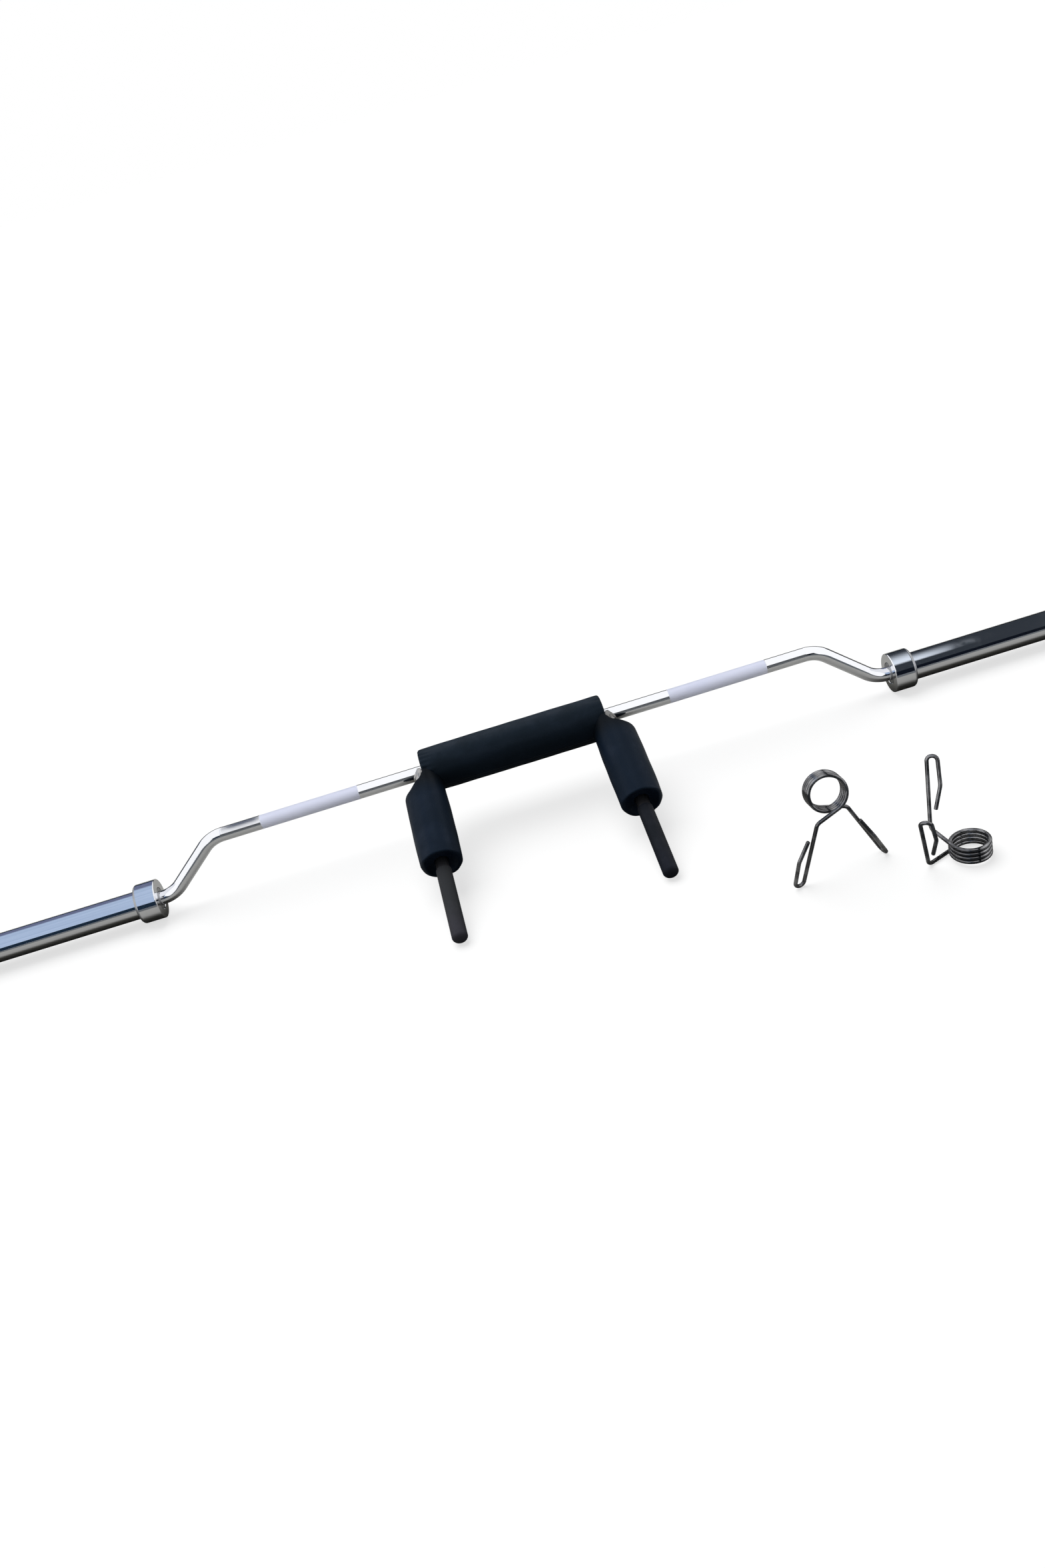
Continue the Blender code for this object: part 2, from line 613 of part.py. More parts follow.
def build():
    """Makes every piece of the bar."""
    clear_scene()
    chrome = material("chrome", (0.80, 0.81, 0.84), 0.12, 1.0)
    steel = material("grey_steel", (0.42, 0.43, 0.45), 0.35, 1.0)
    bronze = material("bronze", (0.60, 0.42, 0.20), 0.35, 1.0)
    wire = material("spring_wire", (0.20, 0.20, 0.21), 0.28, 1.0)
    vinyl = material("navy_black_vinyl", (0.010, 0.017, 0.028), 0.45, 0.0)
    rubber = material("charcoal_rubber", (0.030, 0.030, 0.034), 0.60, 0.0)
    plastic = material("black_plastic", (0.015, 0.015, 0.017), 0.40, 0.0)

    root = bpy.data.objects.new("bar_origin", None)
    bpy.context.collection.objects.link(root)

    make_shaft(chrome, root)
    make_neck_pad(vinyl, root)
    for side, tag in ((-1, "left"), (1, "right")):
        make_arm_tube(side, "arm_tube_" + tag, steel, root)
        make_arm_pad(side, "arm_pad_" + tag, vinyl, root)
        make_grip(side, "handle_grip_" + tag, rubber, root)
        make_shoulder_ring(side, "shoulder_ring_" + tag, steel, root)
        make_washer(side, "thrust_washer_" + tag, steel, root)
        make_retaining_ring(side, "retaining_ring_" + tag, steel, root)

        axle = bpy.data.objects.new("sleeve_axis_" + tag, None)
        bpy.context.collection.objects.link(axle)
        axle.parent = root
        make_sleeve(side, "sleeve_" + tag, chrome, axle)
        make_collar(side, "sleeve_collar_" + tag, chrome, axle)
        make_bushing(side, "inner_bushing_" + tag, sleeve_start + TOUCH, bronze, axle)
        make_bushing(side, "outer_bushing_" + tag, outer_bushing_end - BUSHING_LENGTH, bronze, axle)
        make_end_cap(side, "end_cap_" + tag, plastic, axle)

    # the left one stands on its handles, ring leaning back; the right one sits on its coil
    loops_flat_and_edge_on = (math.radians(15), math.radians(75))
    standing = spring_route(SHOULDER_DROP_STANDING, STANDING_BEND, loops_flat_and_edge_on)
    lean = Matrix.Rotation(math.pi / 2 - STANDING_LEAN, 4, "X")
    frame = Matrix.Translation((*STANDING_AT, 0)) @ lean
    make_spring_collar("spring_collar_left", standing, level_feet(standing, frame), wire, root)
    loops_towards_coil = (math.pi / 2, math.pi / 2)
    sitting = spring_route(SHOULDER_DROP_SITTING, SITTING_BEND, loops_towards_coil)
    frame = Matrix.Translation((*SITTING_AT, 0)) @ Matrix.Rotation(SITTING_TURN, 4, "Z")
    make_spring_collar("spring_collar_right", sitting, frame, wire, root)

    recentre(root)
    shift = root.location
    print("sleeve axis at y", round(shift.y, 6), "z", round(sleeve_height, 6))
    print("collar face", round(collar_face, 6), "plate stop", round(plate_stop, 6),
          "cap face", round(sleeve_end + TOUCH + CAP_FLANGE, 6))
    print("shaft height", round(shaft_height, 6), "arm slope", round(math.degrees(arm_slope), 3))


build()
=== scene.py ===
import math
import bmesh
import bpy
import numpy as np
from mathutils import Matrix, Vector, noise


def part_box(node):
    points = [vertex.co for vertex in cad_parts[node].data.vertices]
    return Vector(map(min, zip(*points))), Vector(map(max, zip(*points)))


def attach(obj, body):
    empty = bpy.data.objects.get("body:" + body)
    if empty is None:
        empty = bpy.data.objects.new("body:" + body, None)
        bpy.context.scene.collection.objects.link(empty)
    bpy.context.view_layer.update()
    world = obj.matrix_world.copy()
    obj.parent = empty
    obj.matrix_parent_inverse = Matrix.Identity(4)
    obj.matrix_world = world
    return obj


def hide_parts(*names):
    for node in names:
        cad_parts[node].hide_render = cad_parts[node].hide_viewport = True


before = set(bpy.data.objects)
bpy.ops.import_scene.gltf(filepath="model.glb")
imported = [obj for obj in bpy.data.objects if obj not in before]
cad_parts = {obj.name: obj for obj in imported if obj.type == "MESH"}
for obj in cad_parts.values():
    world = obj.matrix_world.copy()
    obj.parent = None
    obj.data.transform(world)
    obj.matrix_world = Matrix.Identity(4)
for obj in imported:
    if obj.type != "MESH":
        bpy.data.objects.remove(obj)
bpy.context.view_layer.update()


# Camera: a phone's wide lens, held upright about two metres in front of the bar and looking down on it.
# It is rolled, so that the bar climbs to the right of the picture.
camera_azimuth = math.radians(-0.67)
camera_elevation = math.radians(29.78)
camera_roll = math.radians(16.82)
camera_distance = 2.2607
camera_target = Vector((-0.00572, 0.25448, 0.04015))
camera_lens = 29.31          # millimetres, for a picture 36 mm tall

back = Vector((math.sin(camera_azimuth) * math.cos(camera_elevation),
               -math.cos(camera_azimuth) * math.cos(camera_elevation),
               math.sin(camera_elevation)))
level = Vector((math.cos(camera_azimuth), math.sin(camera_azimuth), 0))
upright = back.cross(level)
camera = bpy.data.objects.new("camera", bpy.data.cameras.new("camera"))
camera.data.lens = camera_lens
camera.data.sensor_width = 36
camera.matrix_world = Matrix((
    level * math.cos(camera_roll) - upright * math.sin(camera_roll),
    level * math.sin(camera_roll) + upright * math.cos(camera_roll),
    back)).transposed().to_4x4()
camera.location = camera_target + back * camera_distance
bpy.context.scene.collection.objects.link(camera)
bpy.context.scene.camera = camera


# Shaft: one round steel bar, ground, bent twice at each end so that the sleeves hang below the middle,
# and chrome plated. A stretch on each side of the yoke is finely knurled and looks satin.
bar_low, bar_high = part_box("bar_shaft")
bar_y = (bar_low.y + bar_high.y) / 2
shaft_radius = (bar_high.y - bar_low.y) / 2
shaft_height = bar_high.z - shaft_radius
sleeve_height = bar_low.z + shaft_radius
spindle_end = bar_high.x
upper_bend_at = 0.5510       # corner of the upper bend, from the bar's middle
camber_run = 0.0997          # from the upper bend's corner to the lower one's
bend_radius = 0.060
bend_step = math.radians(1.5)
shaft_sides = 72
groove_depth = 0.0013
groove_width = 0.0020
spindle_tip = 0.0080
knurl_start = 0.281
knurl_end = 0.459
knurl_pitch = 0.0012
knurl_depth = 0.00045
knurl_roughness = 0.66       # added to the chrome's own
marks_in_knurl = 0.003       # of the grinding marks' height
# the knurl's colour is lighter and bluer than the chrome: a painted lavender sheen
knurl_sheen_colour = (0.84, 0.86, 0.97)
chrome_colour = (0.80, 0.81, 0.84)
handled_colour = tuple(0.91 * c for c in chrome_colour)
handled_roughness = 0.07     # added to the chrome's own
handled_share = 0.55         # of the duller colour


def node(tree, kind, inputs=None, **settings):
    """Adds a shader node whose inputs are plain values or other nodes' outputs."""
    made = tree.nodes.new("ShaderNode" + kind)
    for name, value in settings.items():
        setattr(made, name, value)
    for key, value in (inputs or {}).items():
        if isinstance(value, bpy.types.NodeSocket):
            tree.links.new(value, made.inputs[key])
        else:
            made.inputs[key].default_value = value
    return made


def sums(tree, operation, first, second=0.0, third=0.0):
    """One arithmetic step between values or sockets."""
    return node(tree, "Math", {0: first, 1: second, 2: third}, operation=operation).outputs[0]


def product(tree, first, *others):
    """Multiplies values or sockets."""
    for other in others:
        first = sums(tree, "MULTIPLY", first, other)
    return first


def ramp(tree, value, low, high, start=0.0, end=1.0):
    """Maps a value smoothly from one range to another."""
    made = node(tree, "MapRange", {"Value": value, "From Min": low, "From Max": high,
                                   "To Min": start, "To Max": end}, interpolation_type="SMOOTHSTEP")
    return made.outputs[0]


def blended(tree, share, first, second):
    """Mixes two colours."""
    made = node(tree, "Mix", data_type="RGBA")
    for socket, value in ((made.inputs[0], share), (made.inputs[6], first), (made.inputs[7], second)):
        if isinstance(value, bpy.types.NodeSocket):
            tree.links.new(value, socket)
        elif isinstance(value, tuple):
            socket.default_value = (*value, 1.0)
        else:
            socket.default_value = value
    return made.outputs[2]


def effect(name, inputs, outputs):
    """Starts a node group for an effect that several finishes share."""
    tree = bpy.data.node_groups.new(name, "ShaderNodeTree")
    tree.interface.new_socket(name="Place", in_out="INPUT", socket_type="NodeSocketVector")
    for label, value in inputs.items():
        socket = tree.interface.new_socket(name=label, in_out="INPUT", socket_type="NodeSocketFloat")
        socket.default_value = value
    for label in outputs:
        tree.interface.new_socket(name=label, in_out="OUTPUT", socket_type="NodeSocketFloat")
    return tree, tree.nodes.new("NodeGroupInput"), tree.nodes.new("NodeGroupOutput")


def placed(tree, group, place, **values):
    """Puts an effect's group into a material and gives its result."""
    made = node(tree, "Group", node_tree=group)
    tree.links.new(place, made.inputs["Place"])
    for label, value in values.items():
        made.inputs[label].default_value = value
    return made.outputs[0]


def parts_of(tree, vector):
    """A vector's X, Y and Z."""
    made = node(tree, "SeparateXYZ", {0: vector})
    return made.outputs[0], made.outputs[1], made.outputs[2]


def finish_of(name, colour, roughness, metallic):
    """A material's tree, its shader and the place on the piece that its textures read."""
    made = bpy.data.materials.new(name)
    made.use_nodes = True
    tree = made.node_tree
    shader = tree.nodes["Principled BSDF"]
    shader.inputs["Base Color"].default_value = (*colour, 1.0)
    shader.inputs["Roughness"].default_value = roughness
    shader.inputs["Metallic"].default_value = metallic
    return made, tree, shader, node(tree, "TexCoord").outputs["Object"]


def connect_bump(tree, shader, height, strength, distance):
    """Feeds a height into the shader's normal."""
    bump = node(tree, "Bump", {"Height": height, "Strength": strength, "Distance": distance})
    tree.links.new(bump.outputs[0], shader.inputs["Normal"])


# fine rings left by grinding or turning; the piece's axis is the place's X
turning, given, out = effect("turning_marks", {"Lines": 2600.0}, ["Height"])
stretch = node(turning, "CombineXYZ", {0: given.outputs["Lines"], 1: 14.0, 2: 14.0})
rings = node(turning, "VectorMath", {0: given.outputs["Place"], 1: stretch.outputs[0]},
             operation="MULTIPLY")
lines = node(turning, "TexNoise", {"Vector": rings.outputs[0], "Scale": 1.0, "Detail": 3.0})
turning.links.new(lines.outputs[0], out.inputs["Height"])

# hand marks and a thin film of oil, in soft patches
handling, given, out = effect("handling", {"Size": 9.0, "Edge": 0.5}, ["Mask"])
patches = node(handling, "TexNoise", {"Vector": given.outputs["Place"], "Scale": given.outputs["Size"],
                                      "Detail": 5.0, "Roughness": 0.62})
low_edge = sums(handling, "SUBTRACT", given.outputs["Edge"], 0.10)
high_edge = sums(handling, "ADD", given.outputs["Edge"], 0.16)
handling.links.new(ramp(handling, patches.outputs[0], low_edge, high_edge), out.inputs["Mask"])


def chrome_finish(name, polish=0.045):
    """Bright chrome plate over ground steel, with faint rings and hand marks."""
    made, tree, shader, place = finish_of(name, chrome_colour, roughness=polish, metallic=1.0)
    marks = placed(tree, turning, place, Lines=2600.0)
    hands = placed(tree, handling, place, Size=11.0, Edge=0.55)
    rough = ramp(tree, hands, 0.0, 1.0, polish, polish + handled_roughness)
    tree.links.new(rough, shader.inputs["Roughness"])
    tone = blended(tree, product(tree, hands, handled_share), chrome_colour, handled_colour)
    tree.links.new(tone, shader.inputs["Base Color"])
    connect_bump(tree, shader, marks, strength=0.04, distance=0.00002)
    return made, tree, shader, place, marks, rough, tone


def shaft_finish():
    """The chrome, with the two knurled stretches."""
    made, tree, shader, place, marks, rough, tone = chrome_finish("shaft_chrome")
    x, y, z = parts_of(tree, place)
    out_from_middle = sums(tree, "ABSOLUTE", x)
    began = ramp(tree, out_from_middle, knurl_start, knurl_start + knurl_pitch)
    ended = ramp(tree, out_from_middle, knurl_end - knurl_pitch, knurl_end, 1.0, 0.0)
    knurled = product(tree, began, ended)
    across = sums(tree, "SUBTRACT", y, bar_y)
    over = sums(tree, "SUBTRACT", z, shaft_height)
    turns = product(tree, sums(tree, "ARCTAN2", over, across), shaft_radius / knurl_pitch)
    run = sums(tree, "DIVIDE", x, knurl_pitch)
    right_hand = sums(tree, "PINGPONG", sums(tree, "ADD", turns, run), 0.5)
    left_hand = sums(tree, "PINGPONG", sums(tree, "SUBTRACT", turns, run), 0.5)
    diamonds = product(tree, sums(tree, "MINIMUM", right_hand, left_hand), knurled)
    height = sums(tree, "MULTIPLY_ADD", marks, marks_in_knurl, diamonds)
    connect_bump(tree, shader, height, strength=1.0, distance=knurl_depth)
    satin = sums(tree, "MULTIPLY_ADD", knurled, knurl_roughness, rough)
    tree.links.new(satin, shader.inputs["Roughness"])
    # the knurled stretches take a lighter, bluer colour: painted sheen
    tree.links.new(blended(tree, knurled, tone, knurl_sheen_colour), shader.inputs["Base Color"])
    return made


def shaped(name, bm, finish, crease=35):
    """Turns a bmesh into a smooth-shaded piece with its material."""
    bmesh.ops.recalc_face_normals(bm, faces=bm.faces)
    mesh = bpy.data.meshes.new(name)
    bm.to_mesh(mesh)
    bm.free()
    mesh.shade_smooth()
    mesh.set_sharp_from_angle(angle=math.radians(crease))
    piece = bpy.data.objects.new(name, mesh)
    bpy.context.scene.collection.objects.link(piece)
    piece.data.materials.append(finish)
    return piece


def joined(rings, closed):
    """Bridges rings of points into a tube, closed on itself or capped at both ends."""
    bm = bmesh.new()
    loops = [[bm.verts.new(point) for point in ring] for ring in rings]
    pairs = list(zip(loops, loops[1:])) + ([(loops[-1], loops[0])] if closed else [])
    for low, high in pairs:
        for k, vert in enumerate(low):
            after = (k + 1) % len(low)
            bm.faces.new((vert, low[after], high[after], high[k]))
    if not closed:
        bm.faces.new(loops[0])
        bm.faces.new(loops[-1])
    return bm


def spread(start, end, steps):
    """Evenly spaced values from start to end."""
    return [start + (end - start) * k / steps for k in range(steps + 1)]


def around(sides):
    """Evenly spaced angles round a full turn."""
    return [math.tau * k / sides for k in range(sides)]


def rounded_route(corners, radius, step):
    """Points along straight runs whose inner corners are bent to a radius."""
    route = [Vector(corners[0])]
    for before, corner, after in zip(corners, corners[1:], corners[2:]):
        corner = Vector(corner)
        behind = (Vector(before) - corner).normalized()
        ahead = (Vector(after) - corner).normalized()
        turn = math.pi - behind.angle(ahead)
        reach = radius * math.tan(turn / 2)
        centre = corner + (behind + ahead).normalized() * radius / math.cos(turn / 2)
        start = corner + behind * reach - centre
        side = (corner + ahead * reach - centre) - start * math.cos(turn)
        side = side.normalized() * radius
        for angle in spread(0, turn, max(2, round(turn / step))):
            route.append(centre + start * math.cos(angle) + side * math.sin(angle))
    route.append(Vector(corners[-1]))
    return route


def eased(route, radii, shortest=0.008, inset=0.0015):
    """Adds stations just inside both ends of straight stretches, so that their shading is even."""
    stations = [(route[0], radii[0])]
    for start, end, before, after in zip(route, route[1:], radii, radii[1:]):
        length = (end - start).length
        if length > shortest and before == after:
            stations.append((start.lerp(end, inset / length), before))
            stations.append((end.lerp(start, inset / length), before))
        stations.append((end, after))
    return [point for point, radius in stations], [radius for point, radius in stations]


def bar_along(route, radii, sides):
    """A round bar through the points of a route, with a radius for each point."""
    route, radii = eased(route, radii)
    side = (route[1] - route[0]).orthogonal().normalized()
    rings = []
    for k, (point, radius) in enumerate(zip(route, radii)):
        ahead = (route[min(k + 1, len(route) - 1)] - route[max(k - 1, 0)]).normalized()
        side = (side - ahead * side.dot(ahead)).normalized()
        over = ahead.cross(side)
        rings.append([point + radius * (side * math.cos(a) + over * math.sin(a)) for a in around(sides)])
    return joined(rings, closed=False)


def make_shaft():
    """The bent bar with a ring groove near each tip."""
    groove_start = spindle_end - spindle_tip - groove_width
    low_corner = upper_bend_at + camber_run
    corners = [(-groove_start, bar_y, sleeve_height), (-low_corner, bar_y, sleeve_height),
               (-upper_bend_at, bar_y, shaft_height), (upper_bend_at, bar_y, shaft_height),
               (low_corner, bar_y, sleeve_height), (groove_start, bar_y, sleeve_height)]
    middle = rounded_route(corners, bend_radius, bend_step)
    thin = shaft_radius - groove_depth
    tip = [(groove_start, thin), (groove_start + groove_width, thin),
           (groove_start + groove_width, shaft_radius), (spindle_end - groove_depth, shaft_radius),
           (spindle_end, thin)]
    stations = [(Vector((-x, bar_y, sleeve_height)), radius) for x, radius in reversed(tip)]
    stations += [(point, shaft_radius) for point in middle]
    stations += [(Vector((x, bar_y, sleeve_height)), radius) for x, radius in tip]
    route, radii = zip(*stations)
    return shaped("shaft", bar_along(route, radii, shaft_sides), shaft_finish())


shaft = make_shaft()
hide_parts("bar_shaft")
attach(shaft, "bar_frame")


# Plate sleeves: thick steel tubes, turned smooth and chrome plated, which spin on the shaft's ends.
# Each is counterbored at both ends for a bronze bushing.
sleeve_bore = 0.0150
bushing_seat = 0.0180
bushing_length = 0.0400
outer_bushing_inset = 0.0560
sleeve_chamfer = 0.0015
turned_sides = 112
running_gap = 0.0003
both_sides = ((-1, "left"), (1, "right"))
sleeve_chrome = chrome_finish("sleeve_chrome", polish=0.040)[0]


def spun(profile, sides):
    """Spins a profile of (radius, distance along Z) round Z."""
    rows = [[Vector((math.cos(a) * r, math.sin(a) * r, d)) for r, d in profile] for a in around(sides)]
    bm = joined(rows, closed=True)
    bmesh.ops.remove_doubles(bm, verts=bm.verts, dist=1e-6)
    return bm


def turned(name, profile, side, finish):
    """A round part on the sleeve's axis; distances in its profile are from the bar's middle."""
    bm = spun(profile, turned_sides)
    axis = Matrix.Translation((0, bar_y, sleeve_height)) @ Matrix.Rotation(side * math.pi / 2, 4, "Y")
    bm.transform(axis)
    return shaped(name, bm, finish)


def radius_of(node_name):
    """Radius of a round node that lies along the bar."""
    low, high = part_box(node_name)
    return (high.y - low.y) / 2


def reach_of(node_name, side):
    """Where a node of one side starts and ends, from the bar's middle outwards."""
    low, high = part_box(node_name)
    return (low.x, high.x) if side > 0 else (-high.x, -low.x)


def make_sleeve(side, tag):
    """Tube with its two counterbores."""
    start, end = reach_of("sleeve_" + tag, side)
    radius = radius_of("sleeve_" + tag)
    inner_seat_end = start + bushing_length + running_gap
    outer_seat_start = end - outer_bushing_inset - bushing_length - running_gap
    profile = [(bushing_seat, start), (radius, start), (radius, end - sleeve_chamfer),
               (radius - sleeve_chamfer, end), (bushing_seat, end), (bushing_seat, outer_seat_start),
               (sleeve_bore, outer_seat_start), (sleeve_bore, inner_seat_end),
               (bushing_seat, inner_seat_end)]
    piece = turned("plate_sleeve_" + tag, profile, side, sleeve_chrome)
    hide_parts("sleeve_" + tag)
    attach(piece, tag + "_sleeve_unit")


for side, tag in both_sides:
    make_sleeve(side, tag)


# Stop collars: heavy flanges, turned from bar and chrome plated, pressed on the sleeves' inner ends.
# The plates bear on their outer faces, and have rubbed the rounded shoulders dull; their colour is
# painted darker there as shade.
collar_inner_edge = 0.0015
collar_shoulder = 0.0055
collar_lip = 0.0050
collar_easing = 0.0008       # stations this far past a rounding keep the shading even
lip_bore = 0.0195
lip_chamfer = 0.0006
sleeve_seat = 0.0253
seat_chamfer = 0.0005
seat_land = 0.0030
# the shoulders' darker colour: painted shade
shaded_shoulder_chrome = (0.36, 0.37, 0.39)
worn_roughness = 0.28        # added to the chrome's own


def collar_finish():
    """The chrome, rubbed dull on the shoulder next to the plates, and painted darker there as shade."""
    made, tree, shader, place, marks, rough, tone = chrome_finish("collar_chrome", polish=0.045)
    shoulder_start = reach_of("sleeve_collar_right", 1)[1] - collar_shoulder
    out_from_middle = sums(tree, "ABSOLUTE", parts_of(tree, place)[0])
    worn = ramp(tree, out_from_middle, shoulder_start - 0.0003, shoulder_start + 0.0008)
    # on the shoulder the chrome is rubbed dull, and its colour is painted darker as shade
    tree.links.new(blended(tree, worn, tone, shaded_shoulder_chrome), shader.inputs["Base Color"])
    tree.links.new(sums(tree, "MULTIPLY_ADD", worn, worn_roughness, rough), shader.inputs["Roughness"])
    return made


collar_chrome = collar_finish()


def arc(centre_radius, centre_height, radius, start, end, steps):
    """Points of an arc in a profile; angles run from outwards towards the far end."""
    return [(centre_radius + radius * math.cos(a), centre_height + radius * math.sin(a))
            for a in spread(start, end, steps)]


def make_collar(side, tag):
    """Flange with a lip inside that the sleeve butts against."""
    start, end = reach_of("sleeve_collar_" + tag, side)
    radius = radius_of("sleeve_collar_" + tag)
    profile = [(lip_bore + lip_chamfer, start), (radius - collar_inner_edge, start)]
    profile += arc(radius - collar_inner_edge, start + collar_inner_edge, collar_inner_edge,
                   -math.pi / 2, 0, 8)[1:]
    profile += [(radius, start + collar_inner_edge + collar_easing),
                (radius, end - collar_shoulder - collar_easing)]
    profile += arc(radius - collar_shoulder, end - collar_shoulder, collar_shoulder, 0, math.pi / 2, 12)
    profile += [(sleeve_seat + seat_land, end), (sleeve_seat + seat_chamfer, end),
                (sleeve_seat, end - seat_chamfer), (sleeve_seat, start + collar_lip),
                (lip_bore, start + collar_lip), (lip_bore, start + lip_chamfer)]
    piece = turned("stop_collar_" + tag, profile, side, collar_chrome)
    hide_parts("sleeve_collar_" + tag)
    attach(piece, tag + "_sleeve_unit")


for side, tag in both_sides:
    make_collar(side, tag)


# End caps: black moulded plastic, each with a domed face and a hollow plug pushed into the sleeve's end.
# The sleeve's open end and its grease are kept clean behind them.
cap_plug = 0.0177
cap_wall = 0.0030
cap_flange = 0.0040
cap_dome = 0.0008
cap_black = (0.015, 0.015, 0.017)


def noise_of(tree, place, scale, detail):
    """Plain noise over the surface."""
    return node(tree, "TexNoise", {"Vector": place, "Scale": scale, "Detail": detail}).outputs[0]


def patched(tree, shader, mask, tones, roughness):
    """Mixes two tones and two roughnesses by a mask."""
    tree.links.new(blended(tree, mask, *tones), shader.inputs["Base Color"])
    tree.links.new(ramp(tree, mask, 0.0, 1.0, *roughness), shader.inputs["Roughness"])


def plastic_finish():
    """Satin black plastic with a moulded texture."""
    made, tree, shader, place = finish_of("cap_plastic", cap_black, roughness=0.42, metallic=0.0)
    grain = noise_of(tree, place, scale=1600.0, detail=2.0)
    scuffs = placed(tree, handling, place, Size=60.0, Edge=0.58)
    patched(tree, shader, scuffs, ((0.013, 0.013, 0.015), (0.024, 0.024, 0.027)), (0.38, 0.52))
    connect_bump(tree, shader, grain, strength=0.30, distance=0.0001)
    return made


cap_plastic = plastic_finish()


def make_cap(side, tag):
    """Flange, slightly domed face and hollow plug."""
    start, end = reach_of("end_cap_" + tag, side)
    radius = radius_of("end_cap_" + tag)
    face = end - cap_flange
    edge = cap_flange / 2
    crown = end - cap_dome
    profile = [(0.0, face), (cap_plug - cap_wall, face), (cap_plug - cap_wall, start), (cap_plug, start),
               (cap_plug, face), (radius, face)]
    profile += arc(radius - edge, crown - edge, edge, 0, math.pi / 2, 8)
    rim = radius - edge
    for share in spread(0, 1, 8)[1:]:
        profile.append((rim * (1 - share), crown + cap_dome * (1 - (1 - share) ** 2)))
    piece = turned("sleeve_cap_" + tag, profile, side, cap_plastic)
    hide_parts("end_cap_" + tag)
    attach(piece, tag + "_sleeve_unit")


for side, tag in both_sides:
    make_cap(side, tag)


# Bearings: plain bronze bushings in the sleeves' counterbores, greased. They run against a steel ring on
# the shaft, whose face shows inside the stop collar. A washer and a sprung ring keep the sleeve on.
def bronze_finish():
    """Oiled bearing bronze, darker where the oil sits."""
    colour = (0.60, 0.42, 0.20)
    made, tree, shader, place = finish_of("bearing_bronze", colour, roughness=0.35, metallic=1.0)
    oil = placed(tree, handling, place, Size=45.0, Edge=0.5)
    patched(tree, shader, oil, ((0.62, 0.44, 0.21), (0.34, 0.22, 0.10)), (0.38, 0.22))
    marks = placed(tree, turning, place, Lines=1400.0)
    connect_bump(tree, shader, marks, strength=0.2, distance=0.00005)
    return made


def steel_finish():
    """Grey steel with turning marks and a thin film of grease."""
    colour = (0.42, 0.43, 0.45)
    made, tree, shader, place = finish_of("ring_steel", colour, roughness=0.34, metallic=1.0)
    grease = placed(tree, handling, place, Size=70.0, Edge=0.5)
    patched(tree, shader, grease, (colour, tuple(0.72 * c for c in colour)), (0.30, 0.46))
    marks = placed(tree, turning, place, Lines=1500.0)
    connect_bump(tree, shader, marks, strength=0.2, distance=0.00005)
    return made


bronze = bronze_finish()
ring_steel = steel_finish()
bearing_finishes = {"inner_bushing_": bronze, "outer_bushing_": bronze, "thrust_washer_": ring_steel,
                    "retaining_ring_": ring_steel, "shoulder_ring_": ring_steel}
for side, tag in both_sides:
    for name, finish in bearing_finishes.items():
        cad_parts[name + tag].data.materials.clear()
        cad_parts[name + tag].data.materials.append(finish)


# Yoke arms: steel tubes, coped to the shaft and welded to it all round, one beside each end of the neck
# pad. The weld's ripples were left as they were. The roots are bare, and the right one is painted darker
# as shade.
arm_out = 0.1706
arm_radius = 0.0110
arm_wall = 0.0020
arm_chamfer = 0.0006
arm_sides = 144
weld_bead = 0.0022           # width round the tube
weld_height = 1.35           # along the tube, in beads
weld_edge = 1.45             # where it meets the tube, in beads
weld_ripples = 34
ripple_depth = 0.10
neck_low, neck_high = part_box("neck_pad")
neck_radius = (neck_high.z - neck_low.z) / 2
arm_pad_seat = 0.0036        # from the neck pad's surface to the arm pad's free top
arm_pad_length = 0.1710
bare_tube = 0.0110           # between arm pad and grip
grip_length = 0.1467
arm_pad_start = neck_radius + arm_pad_seat
arm_pad_end = arm_pad_start + arm_pad_length
grip_start = arm_pad_end + bare_tube
handle_reach = grip_start + grip_length
grip_radius = 0.0128
grip_dome = 0.0090
grip_end_wall = 0.0070
clean_steel = ((0.48, 0.48, 0.49), (0.36, 0.36, 0.37))
# the right arm's darker steel: painted shade
shaded_steel = ((0.22, 0.23, 0.24), (0.10, 0.105, 0.115))
straw_steel = (0.27, 0.25, 0.22)
straw_share = 0.35
straw_ends = (0.026, 0.015)  # down the arm from the shaft's axis
blacked_steel = (0.045, 0.045, 0.050)


def resting_slope():
    """Slope of the arms at which the domed grip ends touch the floor, by halving."""
    low, high = 0.0, math.radians(60)
    for _ in range(50):
        slope = (low + high) / 2
        sink = (handle_reach - grip_dome) * math.sin(slope)
        sink += math.hypot(grip_radius * math.cos(slope), grip_dome * math.sin(slope))
        low, high = (slope, high) if sink < shaft_height else (low, slope)
    return low


arm_slope = resting_slope()


def arm_place(side):
    """Frame at an arm's root on the shaft's axis: Z runs down the arm, Y is square to it and up."""
    root = Matrix.Translation((side * arm_out, bar_y, shaft_height))
    return root @ Matrix.Rotation(math.pi / 2 + arm_slope, 4, "X")


def down_the_arm(tree, place):
    """Distance from the shaft's axis down the arm."""
    along = node(tree, "Mapping", {"Vector": place, "Location": (0, bar_y, shaft_height),
                                   "Rotation": (math.pi / 2 + arm_slope, 0, 0)}, vector_type="TEXTURE")
    return parts_of(tree, along.outputs[0])[2]


def on_the_right(tree, place):
    """1 on the right half of the yoke, 0 on the left."""
    return ramp(tree, parts_of(tree, place)[0], -0.05, 0.05)


